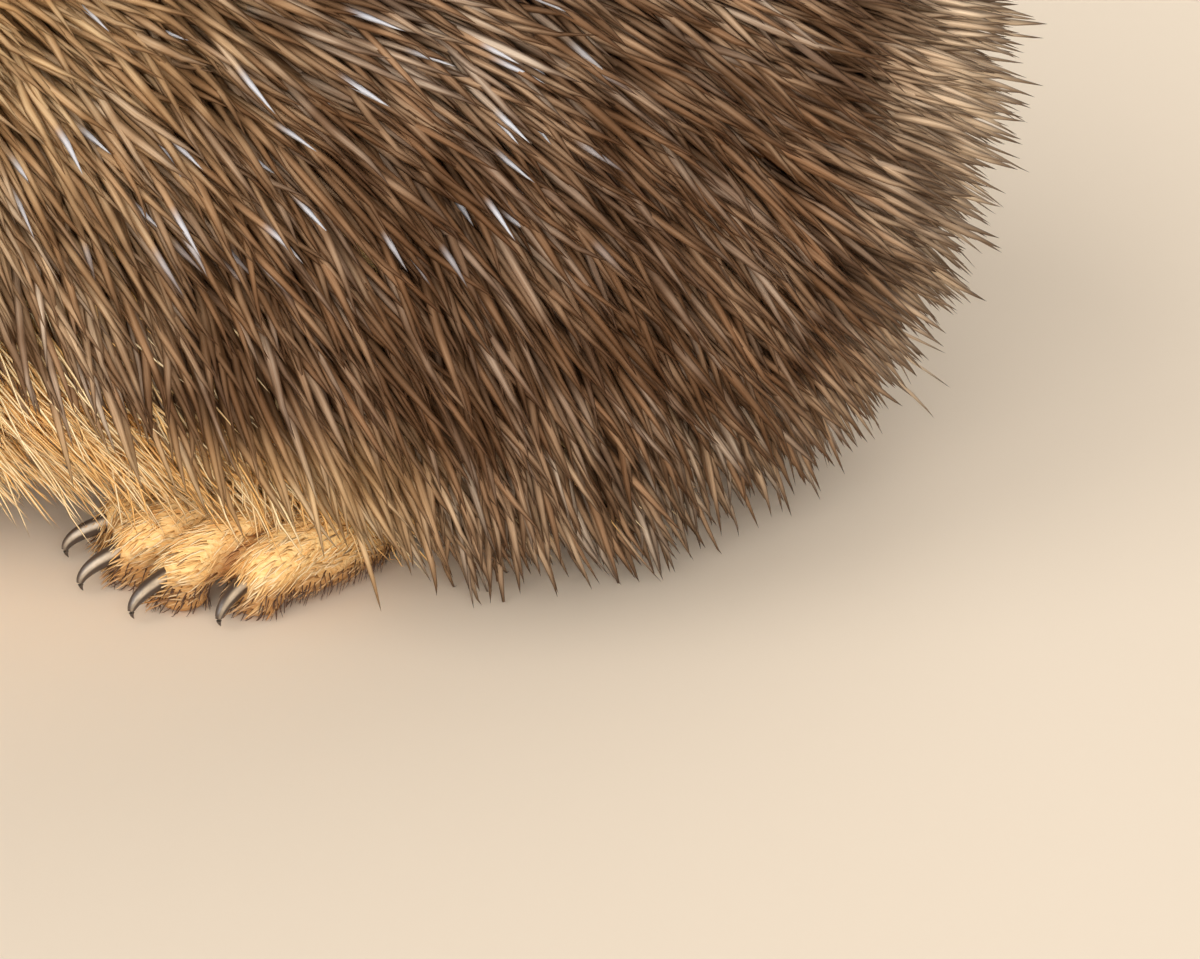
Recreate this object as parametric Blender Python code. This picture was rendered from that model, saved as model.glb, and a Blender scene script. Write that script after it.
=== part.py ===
"""A European hedgehog in life size, walking slowly, as closed solids out to the tips of its coat.

It faces -Y and its left side is at +X. The origin is on the floor, under the middle of its box.
All sizes are in metres. Run it with: blender --background --python part.py
"""

import math

import bmesh
import bpy
import numpy as np
from mathutils import Matrix, Vector

GAP = 0.0003  # clearance between two neighbours

# The body from the muzzle to the rump: y, lowest z, z of the widest level, highest z, half width.
BODY = (
    (-0.1140, 0.0255, 0.0297, 0.0347, 0.0048),  # behind the nose
    (-0.1080, 0.0228, 0.0290, 0.0374, 0.0067),  # muzzle
    (-0.1010, 0.0206, 0.0290, 0.0412, 0.0094),
    (-0.0940, 0.0191, 0.0302, 0.0466, 0.0130),
    (-0.0880, 0.0181, 0.0323, 0.0542, 0.0170),  # brow
    (-0.0810, 0.0172, 0.0355, 0.0658, 0.0222),  # cheeks
    (-0.0720, 0.0165, 0.0395, 0.0802, 0.0282),  # ears
    (-0.0610, 0.0157, 0.0425, 0.0935, 0.0352),  # nape
    (-0.0460, 0.0140, 0.0440, 0.1065, 0.0450),  # shoulders
    (-0.0220, 0.0110, 0.0435, 0.1190, 0.0556),
    (0.0100, 0.0085, 0.0415, 0.1275, 0.0642),  # back
    (0.0480, 0.0046, 0.0385, 0.1285, 0.0680),  # loins
    (0.0800, 0.0050, 0.0400, 0.1260, 0.0670),
    (0.1030, 0.0065, 0.0475, 0.1220, 0.0660),
    (0.1205, 0.0090, 0.0610, 0.1190, 0.0650),  # rump
)
RUMP_START = 0.0480  # from here back every section shrinks towards the last one, in a round end
RUMP_END = 0.1205
RUMP_ROUND = 2.5
LAST_TURN = math.radians(88.65)  # the last section, which a flat cap closes, short of the end at 90
DOME_ROUND = 2.1  # superellipse power of the upper half of a section
SKIRT_ROUND = 2.3  # power of the lower half, where the coat doesn't hang
SKIRT_HANG = 3.4  # added to it where the spines hang like a skirt
SKIRT_MIDDLE = 0.0570
SKIRT_REACH = 0.0320
BELLY_LIFT = 0.18  # the middle of the belly stays this share of the lower half above the skirt
AROUND = 28  # points round a section

HEAD_BACK = -0.0570  # the cut between head and neck
NECK_BACK = -0.0380  # the cut between neck and trunk
HEAD_RINGS = 13
NECK_RINGS = 4
TRUNK_RINGS = 19

MOUTH_CORNER = (-0.0930, 0.0238)  # y and z
MOUTH_FRONT = (-0.1150, 0.0266)
WEDGE_REACH = 0.004  # the wedge that parts the jaw goes this far past the muzzle,
WEDGE_DEPTH = 0.020  # this far down,
WEDGE_WIDTH = 0.030  # and this far to each side

EYE_RADIUS = 0.0032
EYE = (0.0113, -0.0888, 0.0436)
NOSE = (0.0, -0.1158, 0.0312)
NOSE_SIZE = (0.0046, 0.0047, 0.0042)
EAR = (0.0272, -0.0700, 0.0592)
EAR_SIZE = (0.0088, 0.0011, 0.0104)
EAR_CUP = 26.0  # how far the rim comes forward, per metre of its distance from the middle squared
EAR_TURN = math.radians(38)  # the cup faces forward and outward
EAR_LEAN = math.radians(24)

FLOOR_SIZE = 0.4  # side of the block that cuts the soles flat

TAIL_PATH = ((0, 0.074, 0.026), (0, 0.084, 0.0225), (0, 0.092, 0.0175), (0, 0.0985, 0.0125))
TAIL_RADII = (0.0052, 0.0046, 0.0036, 0.0012)

# Each toe: how far its claw reaches forward of the heel, how far outward, and its heading in degrees.
HIND_TOES = (
    (0.0300, -0.0172, -34),
    (0.0426, -0.0110, -12),
    (0.0444, -0.0014, 2),
    (0.0417, 0.0086, 14),
    (0.0330, 0.0152, 28),
)
FORE_TOES = (
    (0.0200, -0.0128, -40),
    (0.0295, -0.0083, -16),
    (0.0325, 0.0000, 0),
    (0.0298, 0.0080, 15),
    (0.0215, 0.0130, 36),
)
# A foot: its toes, half length, half width and half height of its palm, radius of a toe, claw that shows.
HIND_FOOT = {"toes": HIND_TOES, "palm": (0.0140, 0.0115, 0.0082), "toe": 0.0046, "claw": 0.0070}
FORE_FOOT = {"toes": FORE_TOES, "palm": (0.0098, 0.0092, 0.0076), "toe": 0.0040, "claw": 0.0078}
PALM_HEIGHT = 0.0042  # height of the palm's middle over the floor
PALM_INSET = 0.0010  # how far in front of the heel the palm starts
TOE_ROOT = 0.42  # where a toe starts inside the palm, as a share of its reach
TOE_KNUCKLE = (0.72, 0.85)  # where its knuckle is, as shares of its reach forward and outward
TOE_LIFTS = (0.0012, 0.0035, -0.0006)  # heights of root, knuckle and end above a toe's radius
TOE_COVER = 0.0022  # length of claw that the toe's end covers
TOE_CLOSING = (0.72, 0.97)  # a toe's end is round from the first share of its length, cut at the second
CLAW_BASE_HEIGHT = 0.0050
CLAW_TIP_HEIGHT = 0.0007
CLAW_BEND = math.radians(80)  # how far it curves from level
CLAW_ROOT = 1.25  # its whole length, with the root in the toe, over the length that shows
CLAW_RADIUS = 0.00145
CLAW_RADII = (1.0, 1.0, 0.94, 0.74, 0.46, 0.14)

# Each leg: foot plan, heel on the floor, how far the foot turns out, and the leg's path and radii.
LEGS = {
    "hind_left": (
        HIND_FOOT, (0.0255, 0.0425), math.radians(26),
        ((0.0285, 0.0355, 0.0080), (0.0295, 0.0310, 0.0160), (0.0310, 0.0220, 0.0290)),
        (0.0060, 0.0075, 0.0100),
    ),
    "hind_right": (
        HIND_FOOT, (-0.0270, 0.0740), math.radians(20),
        ((-0.0290, 0.0670, 0.0080), (-0.0298, 0.0610, 0.0160), (-0.0310, 0.0500, 0.0290)),
        (0.0060, 0.0075, 0.0100),
    ),
    "fore_left": (
        FORE_FOOT, (0.0270, -0.0290), math.radians(12),
        ((0.0277, -0.0335, 0.0070), (0.0277, -0.0290, 0.0180), (0.0287, -0.0210, 0.0340)),
        (0.0056, 0.0066, 0.0085),
    ),
    "fore_right": (
        FORE_FOOT, (-0.0250, -0.0520), math.radians(8),
        ((-0.0255, -0.0565, 0.0070), (-0.0262, -0.0500, 0.0180), (-0.0285, -0.0390, 0.0340)),
        (0.0056, 0.0066, 0.0085),
    ),
}

SPINE_BROWN = (0.11, 0.075, 0.05)
FUR_GOLD = (0.50, 0.31, 0.13)
FACE_BROWN = (0.24, 0.15, 0.08)
CLAW_GREY = (0.10, 0.08, 0.07)
BLACK = (0.012, 0.010, 0.010)


def clear_scene():
    """Removes whatever the scene holds."""
    for obj in list(bpy.data.objects):
        bpy.data.objects.remove(obj, do_unlink=True)


def new_collection(name, helper=False):
    """A collection in the scene; one of helpers is left out of renders."""
    collection = bpy.data.collections.new(name)
    bpy.context.scene.collection.children.link(collection)
    collection.hide_render = helper
    return collection


clear_scene()
ANIMAL = new_collection("hedgehog")
CUTTERS = new_collection("cutters", helper=True)


def finish(obj, colour, roughness):
    """Gives the object its own material and smooth shading."""
    material = bpy.data.materials.new(obj.name)
    material.use_nodes = True
    shader = material.node_tree.nodes["Principled BSDF"]
    shader.inputs["Base Color"].default_value = (*colour, 1)
    shader.inputs["Roughness"].default_value = roughness
    shader.inputs["Metallic"].default_value = 0
    obj.data.materials.clear()
    obj.data.materials.append(material)
    obj.data.shade_smooth()
    obj.data.set_sharp_from_angle(angle=math.radians(50))


def add_object(name, mesh, helper=False):
    """Links a mesh as an object, either of the animal or as a hidden helper."""
    obj = bpy.data.objects.new(name, mesh)
    (CUTTERS if helper else ANIMAL).objects.link(obj)
    if helper:
        obj.hide_render = True
        obj.display_type = "WIRE"
    return obj


def mesh_from(name, build):
    """A mesh that the function build fills through bmesh."""
    work = bmesh.new()
    build(work)
    bmesh.ops.recalc_face_normals(work, faces=work.faces)
    mesh = bpy.data.meshes.new(name)
    work.to_mesh(mesh)
    work.free()
    return mesh


def boolean(obj, other, operation):
    """Adds an exact Boolean with another object."""
    modifier = obj.modifiers.new(f"{operation.lower()} {other.name}", "BOOLEAN")
    modifier.operation = operation
    modifier.solver = "EXACT"
    modifier.object = other


def ellipsoid(name, centre, radii, across=16, rings=10, helper=False):
    """A UV sphere scaled to three radii round a centre."""

    def build(work):
        bmesh.ops.create_uvsphere(work, u_segments=across, v_segments=rings, radius=1)
        bmesh.ops.scale(work, vec=radii, verts=work.verts)
        bmesh.ops.translate(work, vec=centre, verts=work.verts)

    return add_object(name, mesh_from(name, build), helper)


def tube(name, path, radii, grow=0.0, resolution=2, helper=False):
    """A round tube whose radius changes along its path, from a bevelled curve with filled caps."""
    curve = bpy.data.curves.new(name, "CURVE")
    curve.dimensions = "3D"
    curve.bevel_depth = 1
    curve.bevel_resolution = resolution
    curve.use_fill_caps = True
    spline = curve.splines.new("POLY")
    spline.points.add(len(path) - 1)
    for point, place, radius in zip(spline.points, path, radii):
        point.co = (*place, 1)
        point.radius = radius + grow
    guide = bpy.data.objects.new(name + "_guide", curve)
    CUTTERS.objects.link(guide)
    bpy.context.view_layer.update()
    graph = bpy.context.evaluated_depsgraph_get()
    mesh = bpy.data.meshes.new_from_object(guide.evaluated_get(graph))
    mesh.name = name
    bpy.data.objects.remove(guide, do_unlink=True)
    work = bmesh.new()
    work.from_mesh(mesh)
    bmesh.ops.remove_doubles(work, verts=work.verts, dist=1e-6)
    bmesh.ops.recalc_face_normals(work, faces=work.faces)
    work.to_mesh(mesh)
    work.free()
    return add_object(name, mesh, helper)


def rounded(start, middle, end, radius, steps=7):
    """A path on a quadratic Bezier from start to end, whose radii close it on a circle at the end."""
    t = np.linspace(0, 1, steps)[:, None]
    path = (1 - t) ** 2 * np.array(start) + 2 * t * (1 - t) * np.array(middle) + t**2 * np.array(end)
    closing, cut = TOE_CLOSING
    past = np.clip((t[:, 0] - closing) / (1 - closing), 0, cut)
    return path.tolist(), (radius * np.sqrt(1 - past**2)).tolist()


def stations(y):
    """Low, widest and high level and half width at y: a Hermite cubic through the rows of BODY."""
    table = np.array(BODY)
    at, values = table[:, 0], table[:, 1:]
    slopes = np.gradient(values, at, axis=0)
    row = np.clip(np.searchsorted(at, y) - 1, 0, len(at) - 2)
    step = at[row + 1] - at[row]
    t = (y - at[row]) / step
    return (
        (2 * t**3 - 3 * t**2 + 1) * values[row]
        + (t**3 - 2 * t**2 + t) * step * slopes[row]
        + (3 * t**2 - 2 * t**3) * values[row + 1]
        + (t**3 - t**2) * step * slopes[row + 1]
    )


def section(y, grow=0.0):
    """Points round the body at y: a superellipse whose halves above and below the widest level differ."""
    low, widest, high, half_width = stations(y)
    past = max(0.0, (y - RUMP_START) / (RUMP_END - RUMP_START))
    shrink = max(0.0, 1 - past**RUMP_ROUND) ** (1 / RUMP_ROUND)
    hang = math.exp(-(((y - SKIRT_MIDDLE) / SKIRT_REACH) ** 2))
    turn = np.linspace(0, 2 * math.pi, AROUND, endpoint=False)
    up, side = np.sin(turn), np.cos(turn)
    power = np.where(up > 0, DOME_ROUND, SKIRT_ROUND + SKIRT_HANG * hang)
    across = np.sign(side) * np.abs(side) ** (2 / power)
    lower = (widest - low) * (1 - BELLY_LIFT * hang * (1 - across**2) ** 2)
    height = np.where(up > 0, high - widest, lower) * shrink + grow
    x = (half_width * shrink + grow) * across
    z = widest + height * np.sign(up) * np.abs(up) ** (2 / power)
    return np.stack([x, np.full(AROUND, y), z], axis=1)


def loft(name, rings, helper=False):
    """A closed solid through rings of equal count, with a flat cap on each end."""

    def build(work):
        rows = [[work.verts.new(point) for point in ring] for ring in rings]
        for back, front in zip(rows, rows[1:]):
            for i in range(len(back)):
                j = (i + 1) % len(back)
                work.faces.new((back[i], back[j], front[j], front[i]))
        work.faces.new(rows[0])
        work.faces.new(rows[-1])

    return add_object(name, mesh_from(name, build), helper)


def body_rings(start, end, count, grow=0.0):
    """Sections of the body from y = start to y = end, closer together towards the rump's round end."""
    if end < RUMP_END:
        places = np.linspace(start, end, count)
    else:
        turn = np.linspace(0, LAST_TURN, count)
        places = start + (end - start) * np.sin(turn)
    return [section(y, grow) for y in places]


def make_torso():
    """Trunk and neck, parted by a thin cut."""
    trunk = loft("trunk", body_rings(NECK_BACK, RUMP_END, TRUNK_RINGS))
    neck = loft("neck", body_rings(HEAD_BACK, NECK_BACK - GAP, NECK_RINGS))
    finish(trunk, SPINE_BROWN, 0.55)
    finish(neck, SPINE_BROWN, 0.55)
    return trunk, neck


def jaw_wedge(name, lift, forward):
    """A prism under the line of the mouth; lift and forward grow it past that line and its corner."""
    (corner_y, corner_z), (front_y, front_z) = MOUTH_CORNER, MOUTH_FRONT
    outline = (
        (corner_y + forward, corner_z + lift),
        (front_y - WEDGE_REACH, front_z + lift),
        (front_y - WEDGE_REACH, front_z - WEDGE_DEPTH),
        (corner_y + forward, corner_z - WEDGE_DEPTH),
    )

    def build(work):
        left = [work.verts.new((WEDGE_WIDTH, y, z)) for y, z in outline]
        work.faces.new(left)
        moved = bmesh.ops.extrude_face_region(work, geom=list(work.faces))["geom"]
        far = [item for item in moved if isinstance(item, bmesh.types.BMVert)]
        bmesh.ops.translate(work, vec=(-2 * WEDGE_WIDTH, 0, 0), verts=far)

    return add_object(name, mesh_from(name, build), helper=True)


def make_head():
    """Head, lower jaw, nose and eyes, each cut clear of the next."""
    rings = body_rings(BODY[0][0], HEAD_BACK - GAP, HEAD_RINGS)
    head = loft("head", rings)
    jaw = loft("lower_jaw", rings)
    boolean(jaw, jaw_wedge("jaw_wedge", 0.0, 0.0), "INTERSECT")
    boolean(head, jaw_wedge("jaw_space", GAP, GAP), "DIFFERENCE")
    nose = ellipsoid("nose", NOSE, NOSE_SIZE, 14, 10)
    nose_space = ellipsoid("nose_space", NOSE, [size + GAP for size in NOSE_SIZE], 14, 10, helper=True)
    boolean(head, nose_space, "DIFFERENCE")
    boolean(jaw, nose_space, "DIFFERENCE")
    for side, mirror in (("left", 1), ("right", -1)):
        centre = (mirror * EYE[0], EYE[1], EYE[2])
        eye = ellipsoid(f"eye_{side}", centre, [EYE_RADIUS] * 3, 12, 8)
        socket = ellipsoid(f"socket_{side}", centre, [EYE_RADIUS + GAP] * 3, 12, 8, helper=True)
        boolean(head, socket, "DIFFERENCE")
        finish(eye, BLACK, 0.08)
    finish(head, FACE_BROWN, 0.7)
    finish(jaw, FACE_BROWN, 0.7)
    finish(nose, BLACK, 0.3)


def make_ears():
    """Two thin cupped ears, cut clear of the head and neck behind them."""
    clearance = loft("head_clearance", body_rings(BODY[0][0], NECK_BACK, HEAD_RINGS, GAP), helper=True)
    for side, mirror in (("left", 1), ("right", -1)):
        ear = ellipsoid(f"ear_{side}", (0, 0, 0), EAR_SIZE, 16, 10)
        for vertex in ear.data.vertices:
            x, y, z = vertex.co
            vertex.co.y = y - EAR_CUP * (x * x + 0.5 * z * z)
        turn = Matrix.Rotation(mirror * EAR_TURN, 4, "Z") @ Matrix.Rotation(mirror * EAR_LEAN, 4, "Y")
        place = Matrix.Translation((mirror * EAR[0], EAR[1], EAR[2]))
        ear.data.transform(place @ turn)
        boolean(ear, clearance, "DIFFERENCE")
        finish(ear, FACE_BROWN, 0.6)


def foot_point(leg, forward, outward, height):
    """A point of a foot, from its distances in front of and outward from the heel."""
    _, heel, turn, _, _ = LEGS[leg]
    mirror = 1 if heel[0] > 0 else -1
    x = forward * math.sin(turn) + outward * math.cos(turn)
    y = outward * math.sin(turn) - forward * math.cos(turn)
    return Vector((heel[0] + mirror * x, heel[1] + y, height))


def foot_pieces(leg, name, grow, helper):
    """The palm with its toes joined on, over a flat sole."""
    plan, _, turn, _, _ = LEGS[leg]
    radii = plan["palm"]
    toe_radius = plan["toe"]
    middle = foot_point(leg, radii[0] + PALM_INSET, 0, PALM_HEIGHT)
    mirror = 1 if middle.x > 0 else -1
    foot = ellipsoid(name, (0, 0, 0), (radii[1] + grow, radii[0] + grow, radii[2] + grow), 12, 8, helper)
    spin = Matrix.Rotation(mirror * turn, 4, "Z")
    foot.data.transform(Matrix.Translation(middle) @ spin)
    for number, (forward, outward, heading) in enumerate(plan["toes"], 1):
        course = math.radians(heading)
        back = plan["claw"] - TOE_COVER
        tip = (forward - back * math.cos(course), outward - back * math.sin(course))
        root_lift, knuckle_lift, end_lift = TOE_LIFTS
        start = foot_point(leg, TOE_ROOT * tip[0], TOE_ROOT * tip[1], toe_radius + root_lift)
        bend = (TOE_KNUCKLE[0] * tip[0], TOE_KNUCKLE[1] * tip[1])
        knuckle = foot_point(leg, *bend, toe_radius + knuckle_lift)
        end = foot_point(leg, *tip, toe_radius + end_lift)
        path, sizes = rounded(start, knuckle, end, toe_radius)
        toe = tube(f"{name}_toe_{number}", path, sizes, grow, helper=True)
        boolean(foot, toe, "UNION")
    return foot


def make_leg(leg, floor):
    """One leg with its foot and five claws. Returns the spaces that the body leaves for it."""
    plan, _, _, path, radii = LEGS[leg]
    foot = foot_pieces(leg, f"{leg}_foot", 0.0, helper=False)
    boolean(foot, floor, "DIFFERENCE")
    finish(foot, FUR_GOLD, 0.75)
    foot_space = foot_pieces(leg, f"{leg}_foot_space", GAP, helper=True)
    limb = tube(f"{leg}_leg", path, radii, 0.0, 3)
    boolean(limb, foot_space, "DIFFERENCE")
    finish(limb, FUR_GOLD, 0.75)
    limb_space = tube(f"{leg}_leg_space", path, radii, GAP, 3, helper=True)
    for number, (forward, outward, heading) in enumerate(plan["toes"], 1):
        course = math.radians(heading)
        # The claw starts level inside the toe and follows an ellipse down to its tip.
        bend = np.linspace(0, CLAW_BEND, len(CLAW_RADII))
        back = plan["claw"] * CLAW_ROOT * (1 - np.sin(bend) / math.sin(CLAW_BEND))
        drop = (1 - np.cos(bend)) / (1 - math.cos(CLAW_BEND))
        lift = CLAW_BASE_HEIGHT + (CLAW_TIP_HEIGHT - CLAW_BASE_HEIGHT) * drop
        course_points = [
            foot_point(leg, forward - b * math.cos(course), outward - b * math.sin(course), z)
            for b, z in zip(back, lift)
        ]
        sizes = [CLAW_RADIUS * size for size in CLAW_RADII]
        claw = tube(f"{leg}_claw_{number}", course_points, sizes, 0.0, 1)
        boolean(claw, foot_space, "DIFFERENCE")
        finish(claw, CLAW_GREY, 0.35)
    return [foot_space, limb_space]


def make_tail():
    """The short tail under the rump, and the space it takes."""
    tail = tube("tail", TAIL_PATH, TAIL_RADII)
    finish(tail, FUR_GOLD, 0.75)
    return tube("tail_space", TAIL_PATH, TAIL_RADII, GAP, helper=True)


def make_floor():
    """A helper block under z = 0 that cuts the soles flat."""

    def build(work):
        bmesh.ops.create_cube(work, size=FLOOR_SIZE)
        bmesh.ops.translate(work, vec=(0, 0, -FLOOR_SIZE / 2), verts=work.verts)

    return add_object("floor_cutter", mesh_from("floor_cutter", build), helper=True)


def main():
    """Builds the animal: torso, head, ears, then tail and legs, each with its space in the torso."""
    trunk, neck = make_torso()
    make_head()
    make_ears()
    floor = make_floor()
    spaces = {leg: make_leg(leg, floor) for leg in LEGS}
    boolean(trunk, make_tail(), "DIFFERENCE")
    for leg, cutters in spaces.items():
        for cutter in cutters:
            boolean(trunk, cutter, "DIFFERENCE")
    boolean(neck, spaces["fore_right"][1], "DIFFERENCE")


main()
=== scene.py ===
"""Looks of a life-size hedgehog: one skin with its coat of spines and fur, eyes, nose and claws.

Metres, +Z up. The animal faces -Y and its left side is at +X, on a floor at z = 0.
Every shape is worked out with numpy as a whole array; every material is made of nodes.
"""

import math

import bmesh
import bpy
import numpy as np
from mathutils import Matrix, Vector


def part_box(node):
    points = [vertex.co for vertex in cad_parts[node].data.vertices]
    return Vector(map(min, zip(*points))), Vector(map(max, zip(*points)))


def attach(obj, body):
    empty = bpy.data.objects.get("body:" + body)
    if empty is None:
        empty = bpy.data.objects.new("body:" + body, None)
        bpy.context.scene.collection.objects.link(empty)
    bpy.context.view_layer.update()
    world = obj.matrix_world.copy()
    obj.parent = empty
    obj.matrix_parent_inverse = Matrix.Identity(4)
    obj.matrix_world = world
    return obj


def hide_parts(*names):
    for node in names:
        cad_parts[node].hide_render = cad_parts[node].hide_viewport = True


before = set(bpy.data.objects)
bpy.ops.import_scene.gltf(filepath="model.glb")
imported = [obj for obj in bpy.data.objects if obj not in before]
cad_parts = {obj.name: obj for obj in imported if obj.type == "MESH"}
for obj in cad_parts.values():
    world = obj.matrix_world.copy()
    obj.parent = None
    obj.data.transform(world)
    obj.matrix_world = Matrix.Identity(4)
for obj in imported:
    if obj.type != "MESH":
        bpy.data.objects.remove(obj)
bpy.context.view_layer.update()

UP = np.array([0.0, 0.0, 1.0])
BACK = np.array([0.0, 1.0, 0.0])

# ---------------------------------------------------------------- camera, light and floor

VIEW_AROUND = math.radians(90)  # the camera stands on the animal's left
VIEW_ABOVE = math.radians(25)
VIEW_DISTANCE = 0.75
VIEW_WIDTH = 0.155  # what the frame's width spans at the aim point
AIM_BACK = 0.0655  # the aim point, measured to the right and up in the view from the origin
AIM_UP = -0.0042
SENSOR = 36.0


def view_axes():
    """Unit vectors into the view, to its right and up it, from the camera's two angles."""
    around, above = VIEW_AROUND, VIEW_ABOVE
    into = Vector((-math.sin(around) * math.cos(above), math.cos(around) * math.cos(above), -math.sin(above)))
    right = Vector((math.cos(around), math.sin(around), 0))
    return into, right, right.cross(into)


def make_camera():
    """A long lens at the aim point, so that VIEW_WIDTH fills the frame's width."""
    into, right, up = view_axes()
    data = bpy.data.cameras.new("camera")
    data.sensor_width = SENSOR
    data.lens = SENSOR * VIEW_DISTANCE / VIEW_WIDTH
    camera = bpy.data.objects.new("camera", data)
    camera.location = right * AIM_BACK + up * AIM_UP - into * VIEW_DISTANCE
    camera.rotation_mode = "QUATERNION"
    camera.rotation_quaternion = into.to_track_quat("-Z", "Y")
    bpy.context.scene.collection.objects.link(camera)
    bpy.context.scene.camera = camera


def make_sun(name, direction, strength, softness, colour):
    """A distant light that shines along a direction; softness is the angle that its disc fills."""
    data = bpy.data.lights.new(name, "SUN")
    data.energy = strength
    data.angle = math.radians(softness)
    data.color = colour
    light = bpy.data.objects.new(name, data)
    light.rotation_mode = "QUATERNION"
    light.rotation_quaternion = Vector(direction).to_track_quat("-Z", "Y")
    bpy.context.scene.collection.objects.link(light)


def make_studio():
    """A soft key light from over the head, a low fill on each side, and a pale world that is brightest
    near the horizon, like the walls of a light room."""
    make_sun("key_light", (-0.42, 0.62, -0.80), 0.80, 40, (1.0, 0.965, 0.91))
    make_sun("left_fill", (-0.94, 0.07, -0.30), 3.30, 60, (1.0, 0.965, 0.92))
    make_sun("right_fill", (0.75, -0.45, -0.45), 0.90, 60, (1.0, 0.97, 0.93))
    world = bpy.data.worlds.new("studio")
    bpy.context.scene.world = world
    world.use_nodes = True
    nodes, links = world.node_tree.nodes, world.node_tree.links
    parts = nodes.new("ShaderNodeSeparateXYZ")
    links.new(nodes.new("ShaderNodeTexCoord").outputs["Generated"], parts.inputs[0])
    fade = nodes.new("ShaderNodeMapRange")
    fade.interpolation_type = "SMOOTHSTEP"
    for socket, value in {"From Min": 0.10, "From Max": 0.50, "To Min": 0.92, "To Max": 0.36}.items():
        fade.inputs[socket].default_value = value
    links.new(parts.outputs["Z"], fade.inputs["Value"])
    background = nodes["Background"]
    background.inputs["Color"].default_value = (1.0, 0.93, 0.85, 1)
    links.new(fade.outputs["Result"], background.inputs["Strength"])
    bpy.context.scene.view_settings.view_transform = "Standard"


# ---------------------------------------------------------------- meshes from arrays


def smooth_step(value, low, high):
    """0 below low, 1 above high, and 3t^2 - 2t^3 between them. low may be above high."""
    t = np.clip((np.asarray(value) - low) / (high - low), 0, 1)
    return t * t * (3 - 2 * t)


def unit(vectors):
    """Vectors scaled to length 1."""
    return vectors / np.maximum(np.linalg.norm(vectors, axis=-1, keepdims=True), 1e-12)


def fill_mesh(mesh, points, faces):
    """Puts points (n, 3) and faces, a list of (m, corners) arrays, into an empty mesh."""
    corners = np.concatenate([block.ravel() for block in faces]).astype(np.int32)
    counts = np.concatenate([np.full(len(block), block.shape[1], np.int32) for block in faces])
    starts = np.concatenate([[0], np.cumsum(counts)[:-1]]).astype(np.int32)
    mesh.vertices.add(len(points))
    mesh.vertices.foreach_set("co", np.asarray(points, np.float32).ravel())
    mesh.loops.add(len(corners))
    mesh.loops.foreach_set("vertex_index", corners)
    mesh.polygons.add(len(counts))
    mesh.polygons.foreach_set("loop_start", starts)
    mesh.update(calc_edges=True)
    mesh.shade_smooth()
    return corners


def add_piece(name, mesh, material=None):
    """An object at the origin for a finished mesh."""
    piece = bpy.data.objects.new(name, mesh)
    bpy.context.scene.collection.objects.link(piece)
    if material:
        mesh.materials.append(material)
    return piece


def set_attribute(mesh, name, values):
    """One number per vertex, read by the materials."""
    layer = mesh.attributes.new(name, "FLOAT", "POINT")
    layer.data.foreach_set("value", np.asarray(values, np.float32).ravel())


def circle(sides):
    """Angles evenly round a ring."""
    return np.linspace(0, 2 * math.pi, sides, endpoint=False)


def across_and_over(centre, upward):
    """Unit vectors across a line of points and over it, on the upward side."""
    along = unit(np.gradient(centre, axis=-2))
    across = unit(np.cross(along, upward))
    return across, np.cross(across, along)


def ring_faces(rings, sides):
    """Quads between neighbouring rings of a closed tube, row by row."""
    row = np.arange(rings - 1)[:, None] * sides
    side = np.arange(sides)[None, :]
    next_side = (side + 1) % sides
    quads = np.stack([row + side, row + next_side, row + sides + next_side, row + sides + side], axis=-1)
    return quads.reshape(-1, 4)


def capped(points, offset=0):
    """Points and faces of a grid (rings, sides, 3) whose two ends close in a point at their middle."""
    rings, sides = points.shape[:2]
    flat = points.reshape(-1, 3)
    ends = np.stack([points[0].mean(axis=0), points[-1].mean(axis=0)])
    side = np.arange(sides)
    next_side = (side + 1) % sides
    first = np.stack([next_side, side, np.full(sides, len(flat))], axis=1)
    start = (rings - 1) * sides
    last = np.stack([start + side, start + next_side, np.full(sides, len(flat) + 1)], axis=1)
    return np.concatenate([flat, ends]), [ring_faces(rings, sides) + offset, first + offset, last + offset]


def joined(grids):
    """Several closed grids as one set of points and faces."""
    points, faces, offset = [], [], 0
    for grid in grids:
        some, blocks = capped(grid, offset)
        points.append(some)
        faces += blocks
        offset += len(some)
    return np.concatenate(points), faces


def bezier(controls, t):
    """Points on the Bezier curve of any degree: sum of binomial(n, i) (1-t)^(n-i) t^i times control i."""
    controls = np.asarray(controls, float)
    degree = len(controls) - 1
    weights = [math.comb(degree, i) * (1 - t) ** (degree - i) * t**i for i in range(degree + 1)]
    return np.stack(weights, axis=1) @ controls


TUBE_RINGS = 26
TUBE_SIDES = 24
END_OPENING = 0.0004  # what is left of a tube's section at its ends, which caps then close


def rounded_end(t, reach):
    """Rises from almost 0 to 1 over the reach like an ellipse: sqrt(1 - (1 - t / reach)^2)."""
    return np.sqrt(np.clip(1 - (1 - np.clip(t / reach, 0, 1)) ** 2, END_OPENING, 1))


def sausage(controls, radii, start_round=0.25, end_round=0.25):
    """A tube on a Bezier path. Its radius follows radii and closes like an ellipse at both ends, over the
    shares start_round and end_round of its length."""
    t = 0.5 - 0.5 * np.cos(np.linspace(0, math.pi, TUBE_RINGS))
    centre = bezier(controls, t)
    radius = np.interp(t, np.linspace(0, 1, len(radii)), radii)
    radius = radius * rounded_end(t, start_round)
    radius = radius * rounded_end(1 - t, end_round)
    across, over = across_and_over(centre, UP + 0.001 * BACK)
    around = circle(TUBE_SIDES)
    cosine, sine = np.cos(around)[None, :, None], np.sin(around)[None, :, None]
    ring = across[:, None] * cosine + over[:, None] * sine
    return centre[:, None] + radius[:, None, None] * ring


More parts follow.
